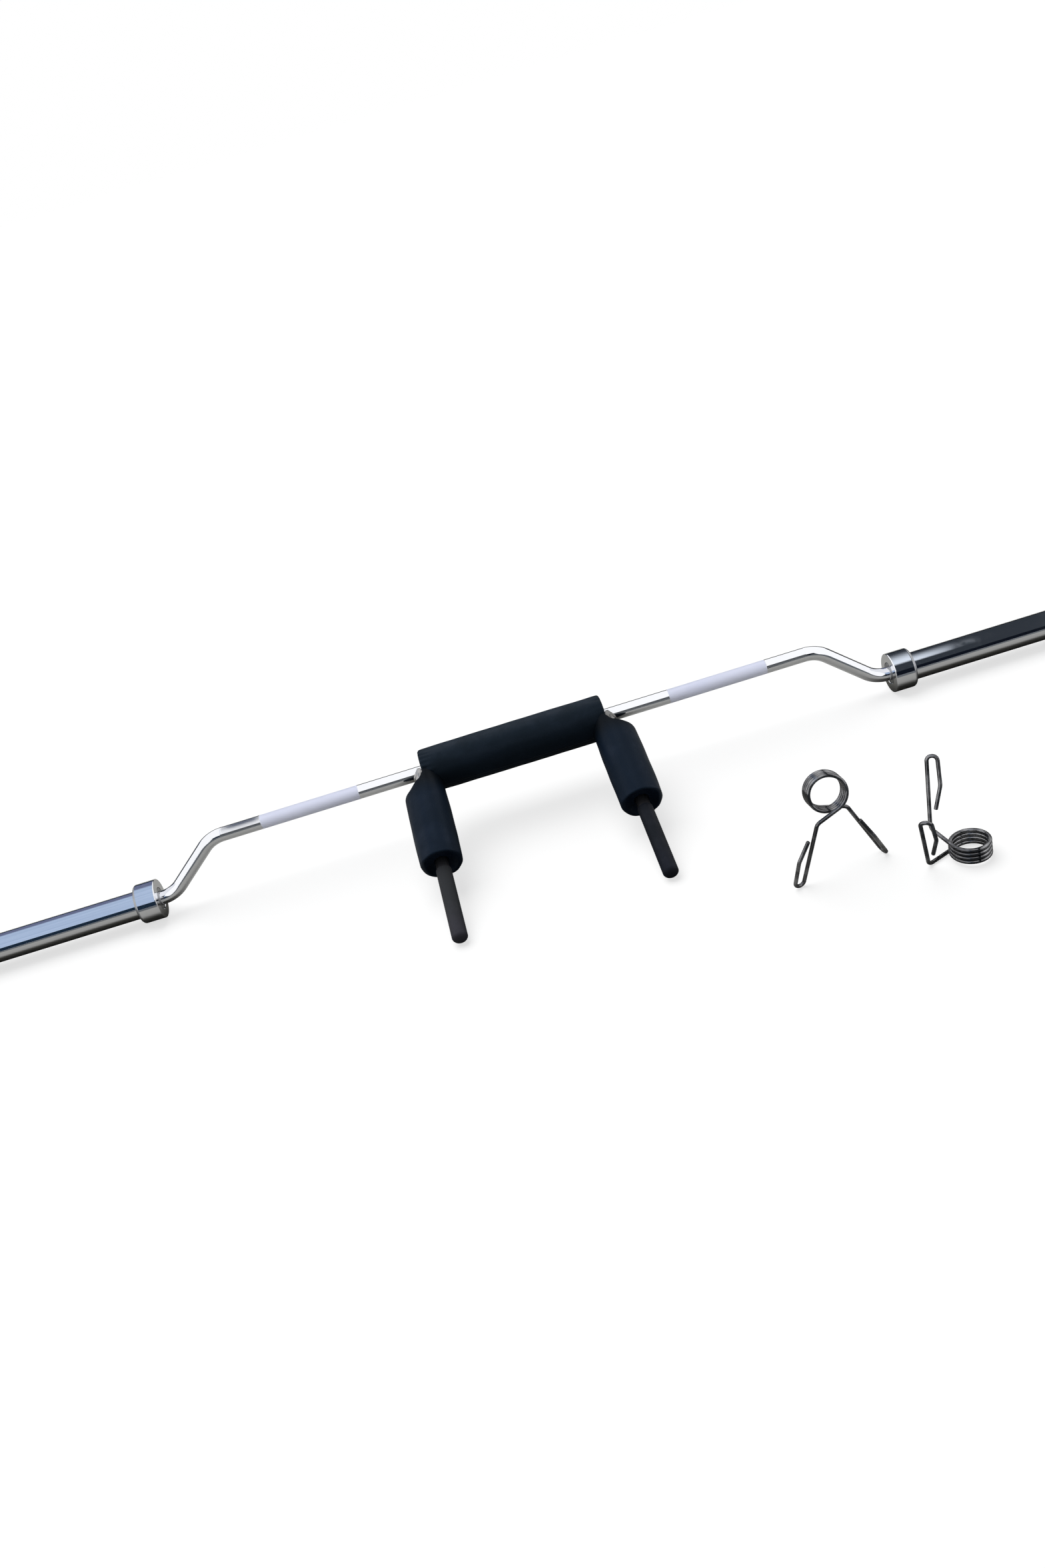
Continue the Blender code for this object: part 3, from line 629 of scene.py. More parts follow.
def arm_finish():
    """Drawn steel, a little straw-coloured next to the weld and blacked towards the handle."""
    colour = (0.46, 0.46, 0.47)
    made, tree, shader, place = finish_of("arm_steel", colour, roughness=0.28, metallic=1.0)
    hands = placed(tree, handling, place, Size=70.0, Edge=0.5)
    clean = blended(tree, hands, *clean_steel)
    # the right arm's steel is painted darker as shade
    shaded_arm = blended(tree, hands, *shaded_steel)
    tone = blended(tree, on_the_right(tree, place), clean, shaded_arm)
    down = down_the_arm(tree, place)
    tone = blended(tree, ramp(tree, down, *straw_ends, 0.0, straw_share), tone, straw_steel)
    blacked = ramp(tree, down, arm_pad_end - 0.060, arm_pad_end - 0.030)
    patched(tree, shader, blacked, (tone, blacked_steel), (0.28, 0.50))
    scale = noise_of(tree, place, scale=700.0, detail=2.0)
    connect_bump(tree, shader, scale, strength=0.08, distance=0.00005)
    return made


arm_steel = arm_finish()


def make_arm(side, tag):
    """Tube with its coped end and the rippled weld bead."""
    inner = arm_radius - arm_wall
    end = handle_reach - grip_end_wall - running_gap
    rows = []
    for angle in around(arm_sides):
        along, across = math.cos(angle), math.sin(angle)
        ripple = ripple_depth * abs(math.sin(weld_ripples * angle / 2))
        bead = weld_bead * (1 - ripple_depth + ripple)

        def root(radius):
            return math.sqrt(max((shaft_radius + running_gap) ** 2 - (radius * across) ** 2, 0.0))

        row = [(inner, end), (inner, root(inner)), (arm_radius, root(arm_radius))]
        for turn in spread(0, math.pi / 2, 8):
            radius = arm_radius + bead * math.cos(turn)
            row.append((radius, root(radius) + bead * weld_height * math.sin(turn)))
        row += [(arm_radius, root(arm_radius) + bead * weld_edge), (arm_radius, end - arm_chamfer),
                (arm_radius - arm_chamfer, end)]
        rows.append([Vector((along * radius, across * radius, height)) for radius, height in row])
    bm = joined(rows, closed=True)
    bm.transform(arm_place(side))
    piece = shaped("yoke_arm_" + tag, bm, arm_steel)
    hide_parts("arm_tube_" + tag)
    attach(piece, "bar_frame")


for side, tag in both_sides:
    make_arm(side, tag)


# Neck pad: a foam roll in a blue-black vinyl cover, slit lengthwise so that it goes over the shaft.
# The cover laps over itself on the front, in line with the arms, and is drawn in at both ends.
neck_half = (neck_high.x - neck_low.x) / 2
neck_bore = shaft_radius + running_gap
neck_rim = 0.0045
neck_crown = 0.0006
notch_radius = arm_radius + 0.0006
notch_root = arm_radius + weld_bead + 0.0006
notch_narrows = (0.016, 0.020)    # down the arm, past the weld
neck_sides = 132
neck_core = 0.7 * neck_radius     # inside this radius the cover doesn't swell
lap_angle = math.radians(206)     # from +Y towards +Z, so just below the arms
lap_step = 0.0013
slack = 0.0010                    # cover before it swells, inside its final size
air_pressure = 3.0
swell_steps = 20
swell_limit = 0.0025
ripple_height = 0.0004
gather_depth = {-1: 0.0024, 1: 0.0011}     # the left end is drawn in harder
gathered = (0.030, 0.002)         # from the end, where the gathers start and are full


def vinyl_finish(name, dark, light, tint):
    """Satin vinyl with a fine leather grain and slow changes of tone."""
    made, tree, shader, place = finish_of(name, light, roughness=0.46, metallic=0.0)
    shader.inputs["Specular IOR Level"].default_value = 0.12
    shader.inputs["Specular Tint"].default_value = (*tint, 1.0)
    worn = placed(tree, handling, place, Size=16.0, Edge=0.5)
    tone = blended(tree, worn, dark, light)
    tree.links.new(tone, shader.inputs["Base Color"])
    tree.links.new(ramp(tree, worn, 0.0, 1.0, 0.50, 0.42), shader.inputs["Roughness"])
    pebbles = node(tree, "TexVoronoi", {"Vector": place, "Scale": 620.0}, feature="SMOOTH_F1")
    creases = noise_of(tree, place, scale=90.0, detail=4.0)
    height = sums(tree, "MULTIPLY_ADD", creases, 0.9, pebbles.outputs[0])
    connect_bump(tree, shader, height, strength=0.22, distance=0.0003)
    return made, tree, shader, place, tone


neck_vinyl = vinyl_finish("neck_vinyl", dark=(0.0048, 0.0095, 0.0155),
                          light=(0.0078, 0.0143, 0.0240), tint=(0.76, 0.86, 1.0))[0]


def smooth_step(low, high, value):
    """Rises smoothly from 0 at low to 1 at high."""
    share = min(max((value - low) / (high - low), 0.0), 1.0)
    return share * share * (3 - 2 * share)


def end_plane(radius, angle):
    """Distance of the neck pad's end from its middle, with the notch that the arm passes through."""
    down_arm = radius * math.cos(angle - math.pi - arm_slope)
    beside = radius * math.sin(angle - math.pi - arm_slope)
    wide = notch_radius + (notch_root - notch_radius) * (1 - smooth_step(*notch_narrows, down_arm))
    if down_arm < 0 or abs(beside) >= wide:
        return neck_half
    return min(neck_half, arm_out - math.sqrt(wide ** 2 - beside ** 2))


def neck_row(angle):
    """One lengthwise section of the neck pad, as (x, radius) points in a closed loop."""
    outer = neck_radius - slack
    flat = outer - neck_crown - neck_rim
    ends = [(end_plane(r, angle), r) for r in spread(neck_bore, flat, 9)]
    for turn in spread(0, math.pi / 2, 5)[1:]:
        r = flat + neck_rim * math.sin(turn)
        ends.append((end_plane(r, angle) - neck_rim * (1 - math.cos(turn)), r))
    shoulder = ends[-1][0]
    side = []
    for x in spread(-shoulder, shoulder, 84)[1:-1]:
        side.append((x, outer - neck_crown * (x / neck_half) ** 2))
    bore_end = ends[0][0]
    bore = [(x, neck_bore) for x in spread(bore_end, -bore_end, 24)[1:-1]]
    return [(-x, r) for x, r in ends] + side + list(reversed(ends)) + bore


def swell(piece, held):
    """Blows a cover up round its foam as cloth under pressure, held where it is sewn or gripped."""
    count = len(piece.data.vertices)
    start = np.zeros(count * 3)
    piece.data.vertices.foreach_get("co", start)
    group = piece.vertex_groups.new(name="held")
    group.add(held, 1.0, "REPLACE")
    cover = piece.modifiers.new("Cover", "CLOTH")
    cover.settings.quality = 6
    cover.settings.mass = 0.25
    cover.settings.tension_stiffness = 18
    cover.settings.compression_stiffness = 18
    cover.settings.shear_stiffness = 6
    cover.settings.bending_stiffness = 2.0
    cover.settings.use_pressure = True
    cover.settings.uniform_pressure_force = air_pressure
    cover.settings.effector_weights.gravity = 0
    cover.settings.vertex_group_mass = "held"
    cover.point_cache.frame_start = 1
    cover.point_cache.frame_end = swell_steps
    for step in range(1, swell_steps + 1):
        bpy.context.scene.frame_set(step)
    blown = piece.evaluated_get(bpy.context.evaluated_depsgraph_get()).to_mesh()
    end = np.zeros(count * 3)
    blown.vertices.foreach_get("co", end)
    moved = (end - start).reshape(-1, 3)
    far = np.linalg.norm(moved, axis=1, keepdims=True)
    moved *= np.minimum(1.0, swell_limit / np.maximum(far, 1e-9))
    piece.modifiers.remove(cover)
    piece.vertex_groups.remove(group)
    piece.data.vertices.foreach_set("co", (start + moved.ravel()))
    piece.data.update()
    bpy.context.scene.frame_set(1)


def lap_depth(turn):
    """How far the cover lies below its top layer, by the angle past the lap's edge."""
    turn = turn % math.tau
    return lap_step * smooth_step(0.0, 0.05, turn) * (1 - smooth_step(0.15, 0.95, turn))


def add_smoothing(piece):
    """One level of subdivision, so that the folds stay round close up."""
    modifier = piece.modifiers.new("Subdivision", "SUBSURF")
    modifier.levels = 1
    modifier.render_levels = 1


def make_neck_pad():
    """Swollen cover with its lap and its gathered ends."""
    rows = []
    for turn in around(neck_sides):
        angle = lap_angle + turn
        rows.append([Vector((x, bar_y + r * math.cos(angle), shaft_height + r * math.sin(angle)))
                     for x, r in neck_row(angle)])
    piece = shaped("neck_cushion", joined(rows, closed=True), neck_vinyl, crease=60)
    axis = Vector((0, bar_y, shaft_height))
    held = []
    for vert in piece.data.vertices:
        off = vert.co - axis
        radius = math.hypot(off.y, off.z)
        turn = (math.atan2(off.z, off.y) - lap_angle) % math.tau
        at_lap = turn < 0.02 and abs(off.x) < neck_half
        if radius < neck_core or at_lap:
            held.append(vert.index)
    swell(piece, held)
    for vert in piece.data.vertices:
        off = vert.co - axis
        radius = math.hypot(off.y, off.z)
        if radius < 0.5 * neck_radius:
            continue
        angle = math.atan2(off.z, off.y)
        outward = Vector((0, off.y, off.z)).normalized()
        outer = smooth_step(neck_core, neck_radius - neck_rim, radius)
        near_end = smooth_step(neck_half - gathered[0], neck_half - gathered[1], abs(off.x))
        vert.co -= outward * outer * lap_depth(angle - lap_angle)
        ripple = noise.noise(Vector((off.x * 30, math.cos(angle) * 3.2, math.sin(angle) * 3.2)))
        gather = noise.noise(Vector((math.copysign(7.0, off.x), angle * 5.5, off.x * 14)))
        depth = gather_depth[-1 if off.x < 0 else 1]
        vert.co += outward * outer * (ripple_height * ripple + depth * near_end * gather)
    add_smoothing(piece)
    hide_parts("neck_pad")
    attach(piece, "bar_frame")


make_neck_pad()


# Arm pads: foam rolls in the same vinyl, slid up the arms until they press against the neck pad. Their
# tops hug it, their free corners are round, and their lower ends are drawn in round the tube.
arm_pad_radius = 0.0365
arm_pad_crown = 0.0010
arm_pad_rim = 0.0090              # lower end, at the sides and underneath
arm_pad_top_rim = 0.0030          # lower end, on top
arm_pad_fold = 0.0006             # upper end, where it hugs the neck pad
arm_pad_blend = 0.0160
arm_pad_dish = 0.0080
arm_pad_sides = 108
arm_pad_core = 0.55 * arm_pad_radius
arm_pad_bore = arm_radius + running_gap
pad_gap = 0.0002
arm_outset = arm_out - neck_half
arm_lap_angle = math.radians(-70)
gathers = 9
gather_height = 0.0003
mouth_height = 0.0005
drift_height = 0.0005
free_corner = {-1: (0.0170, 1.7), 1: (0.0130, 1.0)}     # size and flatness; the left one has sagged flat
arm_vinyl_shaded = (0.0010, 0.0018, 0.0030)


def arm_vinyl_finish():
    """The same vinyl from a bluer batch, darker where the neck pad keeps the light off it."""
    made, tree, shader, place, tone = vinyl_finish(
        "arm_vinyl", dark=(0.0032, 0.0074, 0.0152), light=(0.0054, 0.0108, 0.0222),
        tint=(0.64, 0.80, 1.0))
    shaded = ramp(tree, down_the_arm(tree, place), arm_pad_start + 0.040, arm_pad_start - 0.004)
    tree.links.new(blended(tree, shaded, tone, arm_vinyl_shaded), shader.inputs["Base Color"])
    return made


arm_vinyl = arm_vinyl_finish()


def arm_pad_row(side, out, up):
    """One lengthwise section of an arm pad, as (radius, distance down the arm) points in a loop."""
    def top_at(across, over):
        hug = math.sqrt(max((neck_radius + pad_gap) ** 2 - over ** 2, 0.0))
        free = smooth_step(-arm_pad_blend / 2, arm_pad_blend / 2, across + arm_outset)
        return hug * (1 - free) + arm_pad_start * free

    outer = arm_pad_radius - slack
    size, flatness = free_corner[side]
    free = smooth_step(-0.1, 0.7, out)
    corner = arm_pad_fold + (size - arm_pad_fold) * free
    power = 1 + (flatness - 1) * free
    flat = outer - corner
    row = [(r, top_at(out * r, up * r)) for r in spread(arm_pad_bore, flat, 8)]
    for turn in spread(0, math.pi / 2, 8)[1:]:
        r = flat + corner * math.sin(turn) ** power
        row.append((r, top_at(out * r, up * r) + corner * (1 - math.cos(turn) ** power)))
    shoulder = row[-1][1]
    rim = arm_pad_top_rim + (arm_pad_rim - arm_pad_top_rim) * smooth_step(-0.8, 0.1, -up)
    lower = arm_pad_end - rim
    for share in spread(0, 1, 44)[1:-1]:
        crown = arm_pad_crown * (1 - (2 * share - 1) ** 2)
        row.append((outer + crown, shoulder + (lower - shoulder) * share))
    row += arc(outer - rim, lower, rim, 0, math.pi / 2, 8)
    mouth = outer - rim
    for share in spread(0, 1, 10)[1:]:
        sunk = arm_pad_dish * (1 - (1 - share) ** 2.2)
        row.append((mouth + (arm_pad_bore - mouth) * share, arm_pad_end - sunk))
    bore_end = row[-1][1]
    row += [(arm_pad_bore, height) for height in spread(bore_end, row[0][1], 14)[1:-1]]
    return row


def make_arm_pad(side, tag):
    """Swollen cover with a lap underneath and gathers at the lower end."""
    rows = []
    for angle in around(arm_pad_sides):
        out, up = math.cos(angle), math.sin(angle)
        row = arm_pad_row(side, out, up)
        rows.append([Vector((side * out * r, up * r, height)) for r, height in row])
    piece = shaped("arm_cushion_" + tag, joined(rows, closed=True), arm_vinyl, crease=60)
    held = []
    for vert in piece.data.vertices:
        radius = math.hypot(vert.co.x, vert.co.y)
        against_neck = vert.co.z < arm_pad_start + 0.006 and vert.co.x * side < 0.012
        if radius < arm_pad_core or against_neck:
            held.append(vert.index)
    swell(piece, held)
    for vert in piece.data.vertices:
        radius = math.hypot(vert.co.x, vert.co.y)
        if radius < arm_pad_bore + 0.002:
            continue
        angle = math.atan2(vert.co.y, vert.co.x * side)
        outward = Vector((vert.co.x, vert.co.y, 0)).normalized()
        outer = smooth_step(0.5 * arm_pad_radius, arm_pad_radius - 0.006, radius)
        low_end = smooth_step(arm_pad_end - 0.030, arm_pad_end - 0.004, vert.co.z)
        off_neck = smooth_step(arm_pad_start + 0.004, arm_pad_start + 0.014, vert.co.z)
        vert.co -= outward * outer * off_neck * 0.8 * lap_depth(arm_lap_angle - angle)
        spot = Vector((math.cos(angle) * 2.2 + side, math.sin(angle) * 2.2, vert.co.z * 26))
        drift = noise.noise(spot)
        fold = math.cos(gathers * angle + 1.4 * math.sin(2 * angle + side))
        waves = drift_height * drift + gather_height * low_end * fold
        vert.co += outward * off_neck * outer * waves
        mouth = smooth_step(0.0, 0.5, low_end) * (1 - outer)
        vert.co.z += mouth_height * mouth * fold
    piece.data.transform(arm_place(side))
    add_smoothing(piece)
    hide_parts("arm_pad_" + tag)
    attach(piece, "bar_frame")


for side, tag in both_sides:
    make_arm_pad(side, tag)


# Grips: closed tubes of charcoal rubber with a round end, dipped or pushed over the arms' ends.
# The bar rests on them when it lies on the floor.
grip_bore = arm_radius + running_gap
grip_mouth = 0.0008
grip_bead = 0.0020
grip_sides = 72
left_grip_rubber = ((0.026, 0.028, 0.031), (0.034, 0.033, 0.043))
# the right grip's tones, darker than the left's: painted shade
shaded_rubber = ((0.0050, 0.0066, 0.0100), (0.0070, 0.0085, 0.0150))


def rubber_finish():
    """Matt rubber, greyer in rubbed patches and greyer and bluer towards the tip, with painted shade
    darkening the right grip.
    """
    colour = (0.022, 0.022, 0.025)
    made, tree, shader, place = finish_of("grip_rubber", colour, roughness=0.60, metallic=0.0)
    shader.inputs["Specular IOR Level"].default_value = 0.16
    rubbed = placed(tree, handling, place, Size=26.0, Edge=0.5)
    near_tip = ramp(tree, down_the_arm(tree, place), handle_reach - 0.070, handle_reach)
    share = sums(tree, "MULTIPLY_ADD", near_tip, 0.7, product(tree, rubbed, 0.3))
    worn = blended(tree, share, *left_grip_rubber)
    shaded_grip = blended(tree, share, *shaded_rubber)
    # the right grip is painted darker than the left as shade
    tree.links.new(blended(tree, on_the_right(tree, place), worn, shaded_grip), shader.inputs["Base Color"])
    tree.links.new(ramp(tree, rubbed, 0.0, 1.0, 0.64, 0.52), shader.inputs["Roughness"])
    skin = noise_of(tree, place, scale=1100.0, detail=3.0)
    connect_bump(tree, shader, skin, strength=0.35, distance=0.00015)
    return made


rubber = rubber_finish()


def make_grip(side, tag):
    """Closed tube with a rolled mouth and a domed end."""
    bottom = handle_reach - grip_end_wall
    dome_start = handle_reach - grip_dome
    profile = [(0.0, bottom), (grip_bore, bottom), (grip_bore, grip_start)]
    profile += arc(grip_radius - grip_mouth, grip_start + grip_mouth, grip_mouth, -math.pi / 2, 0, 6)
    profile += [(grip_radius, grip_start + height) for height in (grip_bead, 0.020, 0.060, 0.100)]
    profile.append((grip_radius, dome_start))
    for angle in spread(0, math.pi / 2, 16)[1:-1]:
        profile.append((grip_radius * math.cos(angle), dome_start + grip_dome * math.sin(angle)))
    profile.append((0.0, handle_reach))
    bm = spun(profile, grip_sides)
    bm.transform(arm_place(side))
    piece = shaped("grip_" + tag, bm, rubber)
    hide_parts("handle_grip_" + tag)
    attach(piece, "bar_frame")


for side, tag in both_sides:
    make_grip(side, tag)


# Spring collars: each is one length of dark, oiled spring wire, wound four times to grip the sleeve and
# bent into two looped handles. One stands on its handles, the other sits on its coil.
wire_diameter = 0.0060
coil_bore = 0.0488
coil_turns = 4
coil_gap = 0.0008
shoulder_half = 0.0270
handle_length = 0.1080
handle_spread = math.radians(21)
loop_width = 0.0150
loop_return = 0.0800
knee_place = (0.55, 0.15)         # down the return in returns, outwards in loop widths
wire_end_inset = 0.40             # in loop widths
wire_end_rounding = 0.12          # in diameters
wire_bend = 0.0110
wire_sides = 20
coil_steps = 80
standing_drop = 0.0380            # how far the shoulders lie from the coil's middle
standing_bend = math.radians(-18)
standing_lean = math.radians(77)
standing_place = (0.400, -0.451)  # from the bar's middle and its axis
sitting_drop = 0.0560
sitting_bend = math.radians(90)
sitting_turn = math.radians(-119)
sitting_place = (0.579, -0.511)


def wire_finish():
    """Drawn spring steel under dark oil, bright where it has rubbed."""
    colour = (0.17, 0.17, 0.18)
    made, tree, shader, place = finish_of("spring_steel", colour, roughness=0.16, metallic=1.0)
    oil = placed(tree, handling, place, Size=38.0, Edge=0.52)
    patched(tree, shader, oil, ((0.105, 0.105, 0.110), (0.31, 0.31, 0.32)), (0.10, 0.22))
    scratches = noise_of(tree, place, scale=320.0, detail=3.0)
    connect_bump(tree, shader, scratches, strength=0.08, distance=0.0002)
    return made


spring_steel = wire_finish()


def spring_route(shoulder_drop, bend, loop_turns):
    """Centre line of one wire, ring axis along Z: handle loop, shoulder, coil, shoulder, handle loop."""
    radius = (coil_bore + wire_diameter) / 2
    leave = math.acos(radius / math.hypot(shoulder_half, shoulder_drop)) - math.atan2(shoulder_half,
                                                                                     shoulder_drop)
    turning_angle = math.tau * coil_turns - 2 * leave
    half_height = (wire_diameter + coil_gap) * turning_angle / math.tau / 2

    def handle(side, height, loop_turn):
        shoulder = Vector((side * shoulder_half, -shoulder_drop, height))
        touch = Vector((-side * radius * math.sin(leave), -radius * math.cos(leave), height))
        down = Vector((side * math.sin(handle_spread), -math.cos(handle_spread) * math.cos(bend),
                       math.cos(handle_spread) * math.sin(bend)))
        across = Vector((side, 0, 0))
        across = (across - down * across.dot(down)).normalized()
        behind = down.cross(across) * side
        wide = across * math.cos(loop_turn) + behind * math.sin(loop_turn)
        foot = shoulder + down * handle_length
        loop = foot + wide * loop_width
        knee = loop - down * (loop_return * knee_place[0]) + wide * (loop_width * knee_place[1])
        end = loop - down * loop_return - wide * (loop_width * wire_end_inset)
        step = math.radians(5)
        route = rounded_route([shoulder, foot, loop, knee], loop_width / 2 - 0.0001, step)
        knee_bend = rounded_route([route[-2], knee, end], wire_bend * 2, step)
        root = rounded_route([touch, shoulder, foot], wire_bend, step)
        return root[:-1] + route[1:-2] + knee_bend

    coil = []
    steps = round(coil_steps * turning_angle / math.tau)
    for share in spread(0, 1, steps)[1:-1]:
        angle = -math.pi / 2 + leave + turning_angle * share
        coil.append(Vector((radius * math.cos(angle), radius * math.sin(angle),
                            half_height * (1 - 2 * share))))
    left = handle(-1, half_height, loop_turns[0])
    right = handle(1, -half_height, loop_turns[1])
    return list(reversed(left)) + coil + right


def level_feet(points, place):
    """Rolls a standing collar about Y until both handle loops touch the floor."""
    set_down = [place @ point for point in points]
    middle = len(set_down) // 2
    left = min(set_down[:middle], key=lambda point: point.z)
    right = min(set_down[middle:], key=lambda point: point.z)
    roll = math.atan2(right.z - left.z, right.x - left.x)
    centre = Matrix.Translation(place.translation)
    return centre @ Matrix.Rotation(roll, 4, "Y") @ centre.inverted() @ place


def make_spring(tag, body, points, place):
    """The wire, with its cut ends rounded over, standing on the floor."""
    first = (points[1] - points[0]).normalized()
    last = (points[-1] - points[-2]).normalized()
    cut = wire_diameter * wire_end_rounding
    route = [points[0], points[0] + first * cut] + points[1:-1] + [points[-1] - last * cut, points[-1]]
    full = wire_diameter / 2
    radii = [full - cut, full] + [full] * (len(points) - 2) + [full, full - cut]
    lowest = min((place @ point).z for point in points) - full
    place = Matrix.Translation((0, 0, -lowest)) @ place
    bm = bar_along(route, radii, wire_sides)
    bm.transform(place)
    piece = shaped("spring_" + tag, bm, spring_steel)
    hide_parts("spring_collar_" + tag)
    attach(piece, body)


def beside_bar(across, along):
    """A spot on the floor, by its distances from the bar's middle and axis."""
    return Matrix.Translation((across, bar_y + along, 0))


standing = spring_route(standing_drop, standing_bend, (math.radians(15), math.radians(75)))
set_down = beside_bar(*standing_place) @ Matrix.Rotation(standing_lean, 4, "X")
make_spring("left", "standing_spring_collar", standing, level_feet(standing, set_down))
sitting = spring_route(sitting_drop, sitting_bend, (math.pi / 2, math.pi / 2))
set_down = beside_bar(*sitting_place) @ Matrix.Rotation(sitting_turn, 4, "Z")
make_spring("right", "sitting_spring_collar", sitting, set_down)


# Studio: a white floor and a white surround, lit evenly from above. A card on the floor, drapes and two
# hoops stand round the bar, and only its shiny surfaces show them.
floor_half = 40.0
floor_drop = 0.0006
floor_grey = 0.35
floor_glow = 0.68
room_radius = 300.0
room_white = 1.20
hoop_radius = 0.12
hoop_start = 0.560
hoop_end = 0.698
hoop_foot = math.radians(22)
lamp_strength = 2.8
lamp_size = math.radians(60)
lamp_tilt = (math.radians(-22), math.radians(-14), 0)
fill_strength = 0.20
white = (1.0, 1.0, 1.0)
beige = (0.36, 0.355, 0.335)
card_grey = (0.09, 0.10, 0.11)
# painted shadow on the floor card, under the sleeves and the pads
card_shadow_black = (0.055, 0.053, 0.045)
shadow_grey = (0.11, 0.125, 0.165)
blue_folds = ((0.36, 0.455, 0.62), (0.42, 0.52, 0.69))
far_blue = (0.13, 0.15, 0.245)
drape_black = (0.030, 0.036, 0.045)
lamp_colour = (0.70, 0.76, 0.84)
band_grey = (0.09, 0.095, 0.10)
band_left = (0.010, 0.021, 0.038)
band_right = (0.005, 0.007, 0.012)


def sheet_of(name, points, faces):
    """A thin sheet of the studio."""
    mesh = bpy.data.meshes.new(name)
    mesh.from_pydata(points, [], faces)
    piece = bpy.data.objects.new(name, mesh)
    bpy.context.scene.collection.objects.link(piece)
    return piece


def flat_sheet(name, half, height):
    """A square sheet lying flat."""
    corners = [(x * half, y * half, height) for x, y in ((-1, -1), (1, -1), (1, 1), (-1, 1))]
    return sheet_of(name, corners, [(0, 1, 2, 3)])


def glowing(name):
    """A material that only glows white, with its tree, its glow and its output."""
    made = bpy.data.materials.new(name)
    made.use_nodes = True
    tree = made.node_tree
    tree.nodes.clear()
    light = node(tree, "Emission", {"Color": (*white, 1.0), "Strength": room_white})
    surface = node(tree, "OutputMaterial", {"Surface": light.outputs[0]})
    return made, tree, light, surface


def seen_directly(tree):
    """1 for rays from the camera, from gloss and through glass."""
    path = node(tree, "LightPath")
    both = sums(tree, "ADD", path.outputs["Is Camera Ray"], path.outputs["Is Glossy Ray"])
    return sums(tree, "ADD", both, path.outputs["Is Transmission Ray"])


floor = flat_sheet("floor", floor_half, -floor_drop)
floor_paint, tree, glow, surface = glowing("floor_white")
tree.links.new(product(tree, seen_directly(tree), floor_glow), glow.inputs["Strength"])
paper = node(tree, "BsdfDiffuse", {"Color": (floor_grey, floor_grey, floor_grey, 1.0)})
both = node(tree, "AddShader", {0: paper.outputs[0], 1: glow.outputs[0]})
tree.links.new(both.outputs[0], surface.inputs["Surface"])
floor.data.materials.append(floor_paint)

# beige, with painted shadow under the sleeves and the pads, and darker again some way in front of them
card = flat_sheet("floor_card", floor_half / 2, -floor_drop / 2)
card_paint, tree, shader, place = finish_of("card_beige", beige, roughness=0.9, metallic=0.0)
x, y, z = parts_of(tree, place)
behind_bar = sums(tree, "SUBTRACT", y, bar_y)
from_middle = sums(tree, "ABSOLUTE", x)
dark_from = ramp(tree, from_middle, 0.60, 0.74, -0.62, -0.19)
by_springs = product(tree, ramp(tree, x, 0.26, 0.36), ramp(tree, from_middle, 0.66, 0.58))
dark_from = sums(tree, "MULTIPLY_ADD", by_springs, 0.17, dark_from)
in_front = ramp(tree, sums(tree, "SUBTRACT", behind_bar, dark_from), 0.0, -0.12)
tone = blended(tree, in_front, beige, card_grey)
# painted shadow under the sleeves and the pads
shadow_under_bar = product(tree, ramp(tree, sums(tree, "ABSOLUTE", behind_bar), 0.064, 0.034),
                    ramp(tree, from_middle, 0.60, 0.68))
shadow_under_pads = product(tree, ramp(tree, from_middle, 0.24, 0.18), ramp(tree, behind_bar, 0.90, 0.60),
                     ramp(tree, behind_bar, -0.42, -0.36))
shadow_under_bar = sums(tree, "MAXIMUM", shadow_under_bar, shadow_under_pads)
tree.links.new(blended(tree, shadow_under_bar, tone, card_shadow_black), shader.inputs["Base Color"])
card.data.materials.append(card_paint)

bm = bmesh.new()
bmesh.ops.create_uvsphere(bm, u_segments=96, v_segments=48, radius=room_radius)
drapes_paint, tree, light, surface = glowing("drapes")
spot = node(tree, "VectorMath", {0: node(tree, "TexCoord").outputs["Object"], 3: 1 / room_radius},
            operation="SCALE").outputs[0]
across, away, high = parts_of(tree, spot)
sideways = sums(tree, "ABSOLUTE", across)
# left: a grey shadow in the white, then pale blue that darkens beyond the bar
dusk = product(tree, ramp(tree, across, -0.190, -0.194), ramp(tree, across, -0.224, -0.216),
               ramp(tree, away, -0.78, 0.45, 0.30, 1.0))
colour = blended(tree, dusk, white, shadow_grey)
folds = noise_of(tree, spot, scale=9.0, detail=2.0)
blue = blended(tree, ramp(tree, folds, 0.35, 0.65), *blue_folds)
blue = blended(tree, ramp(tree, away, 0.44, 0.66), blue, far_blue)
colour = blended(tree, ramp(tree, across, -0.245, -0.262), colour, blue)
# right: black, with a lamp that ends at an edge
lamp_lit = product(tree, ramp(tree, away, -0.52, -0.30), ramp(tree, away, 0.85, -0.25),
                   ramp(tree, across, 0.366, 0.314), ramp(tree, across, 0.347, 0.343))
black = blended(tree, lamp_lit, drape_black, lamp_colour)
colour = blended(tree, ramp(tree, across, 0.262, 0.286), colour, black)
# a dark band along the horizon, lower beyond the bar than in front of it, and lower to the sides
near_top = ramp(tree, sideways, 0.24, 0.28, 0.50, 0.39)
far_top = ramp(tree, sideways, 0.24, 0.28, 0.43, 0.28)
band_top = ramp(tree, away, 0.2, -0.2, far_top, near_top)
in_band = ramp(tree, sums(tree, "SUBTRACT", high, band_top), 0.0, -0.04)
band = blended(tree, ramp(tree, across, -0.24, -0.28), band_grey, band_left)
band = blended(tree, ramp(tree, across, 0.24, 0.28), band, band_right)
colour = blended(tree, in_band, colour, band)
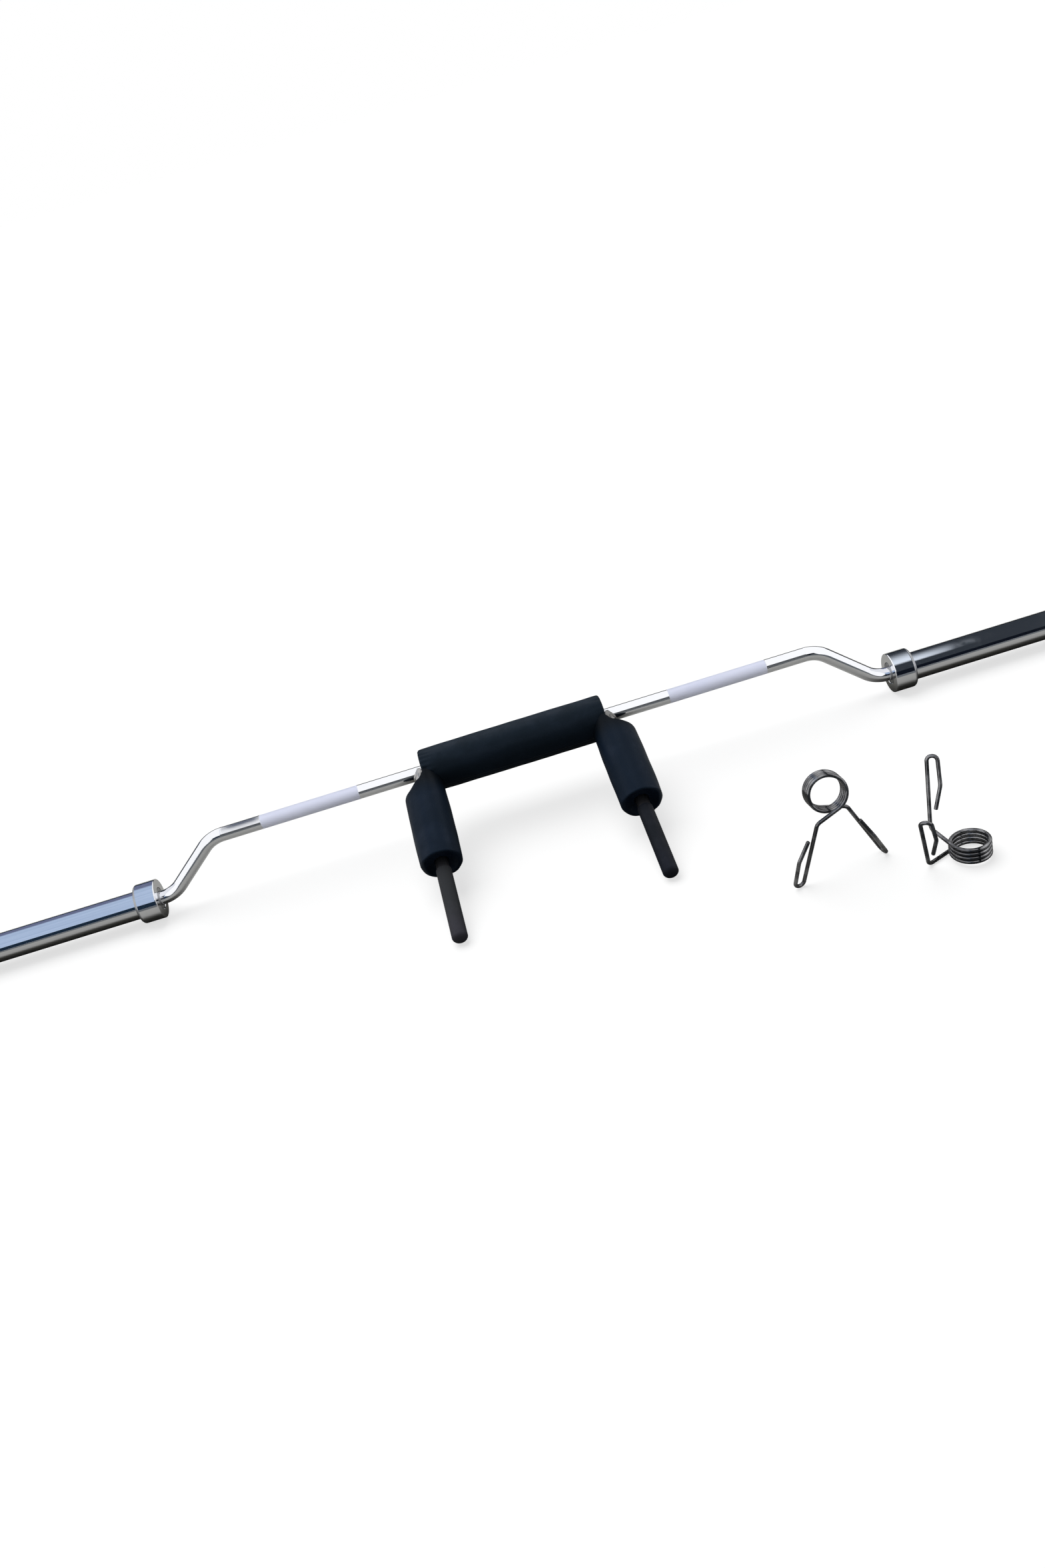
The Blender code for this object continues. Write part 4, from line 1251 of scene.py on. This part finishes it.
# white again further out, with a dark line low down beyond the bar
low_line = product(tree, ramp(tree, away, 0.44, 0.52), ramp(tree, high, 0.34, 0.29))
beside = product(tree, ramp(tree, sideways, 0.425, 0.450), sums(tree, "SUBTRACT", 1.0, low_line))
colour = blended(tree, beside, colour, white)
tree.links.new(colour, light.inputs["Color"])
drapes = shaped("drapes", bm, drapes_paint)

# white hoops over the upper bends, which would otherwise catch the drapes' colours
hoop_white = glowing("hoop_white")[0]


def make_hoop(side, tag):
    """An arch of card over one bend, from front to back."""
    turns = spread(hoop_foot, math.pi - hoop_foot, 34)
    points = [(side * x, bar_y + hoop_radius * math.cos(a), shaft_height + hoop_radius * math.sin(a))
              for a in turns for x in (hoop_start, hoop_end)]
    faces = [(2 * k, 2 * k + 1, 2 * k + 3, 2 * k + 2) for k in range(len(turns) - 1)]
    hoop = sheet_of("hoop_" + tag, points, faces)
    hoop.data.materials.append(hoop_white)
    return hoop


hoops = [make_hoop(side, tag) for side, tag in both_sides]
for paint in (drapes_paint, hoop_white):
    paint.cycles.emission_sampling = "NONE"
for unseen in (card, drapes, *hoops):
    unseen.visible_camera = False
    unseen.visible_diffuse = False
    unseen.visible_transmission = False
    unseen.visible_shadow = False

lamp = bpy.data.objects.new("softbox", bpy.data.lights.new("softbox", "SUN"))
lamp.data.energy = lamp_strength
lamp.data.angle = lamp_size
lamp.rotation_euler = lamp_tilt
lamp.visible_glossy = False
bpy.context.scene.collection.objects.link(lamp)

world = bpy.data.worlds.new("studio")
world.use_nodes = True
world.cycles.sampling_method = "NONE"
tree = world.node_tree
tree.nodes.clear()
surround = node(tree, "Background", {"Color": (1, 1, 1, 1), "Strength": 1.0})
fill = node(tree, "Background", {"Color": (0.96, 0.98, 1.0, 1), "Strength": fill_strength})
mixed = node(tree, "MixShader", {0: seen_directly(tree), 1: fill.outputs[0], 2: surround.outputs[0]})
node(tree, "OutputWorld", {"Surface": mixed.outputs[0]})
bpy.context.scene.world = world
bpy.context.scene.view_settings.view_transform = "Standard"
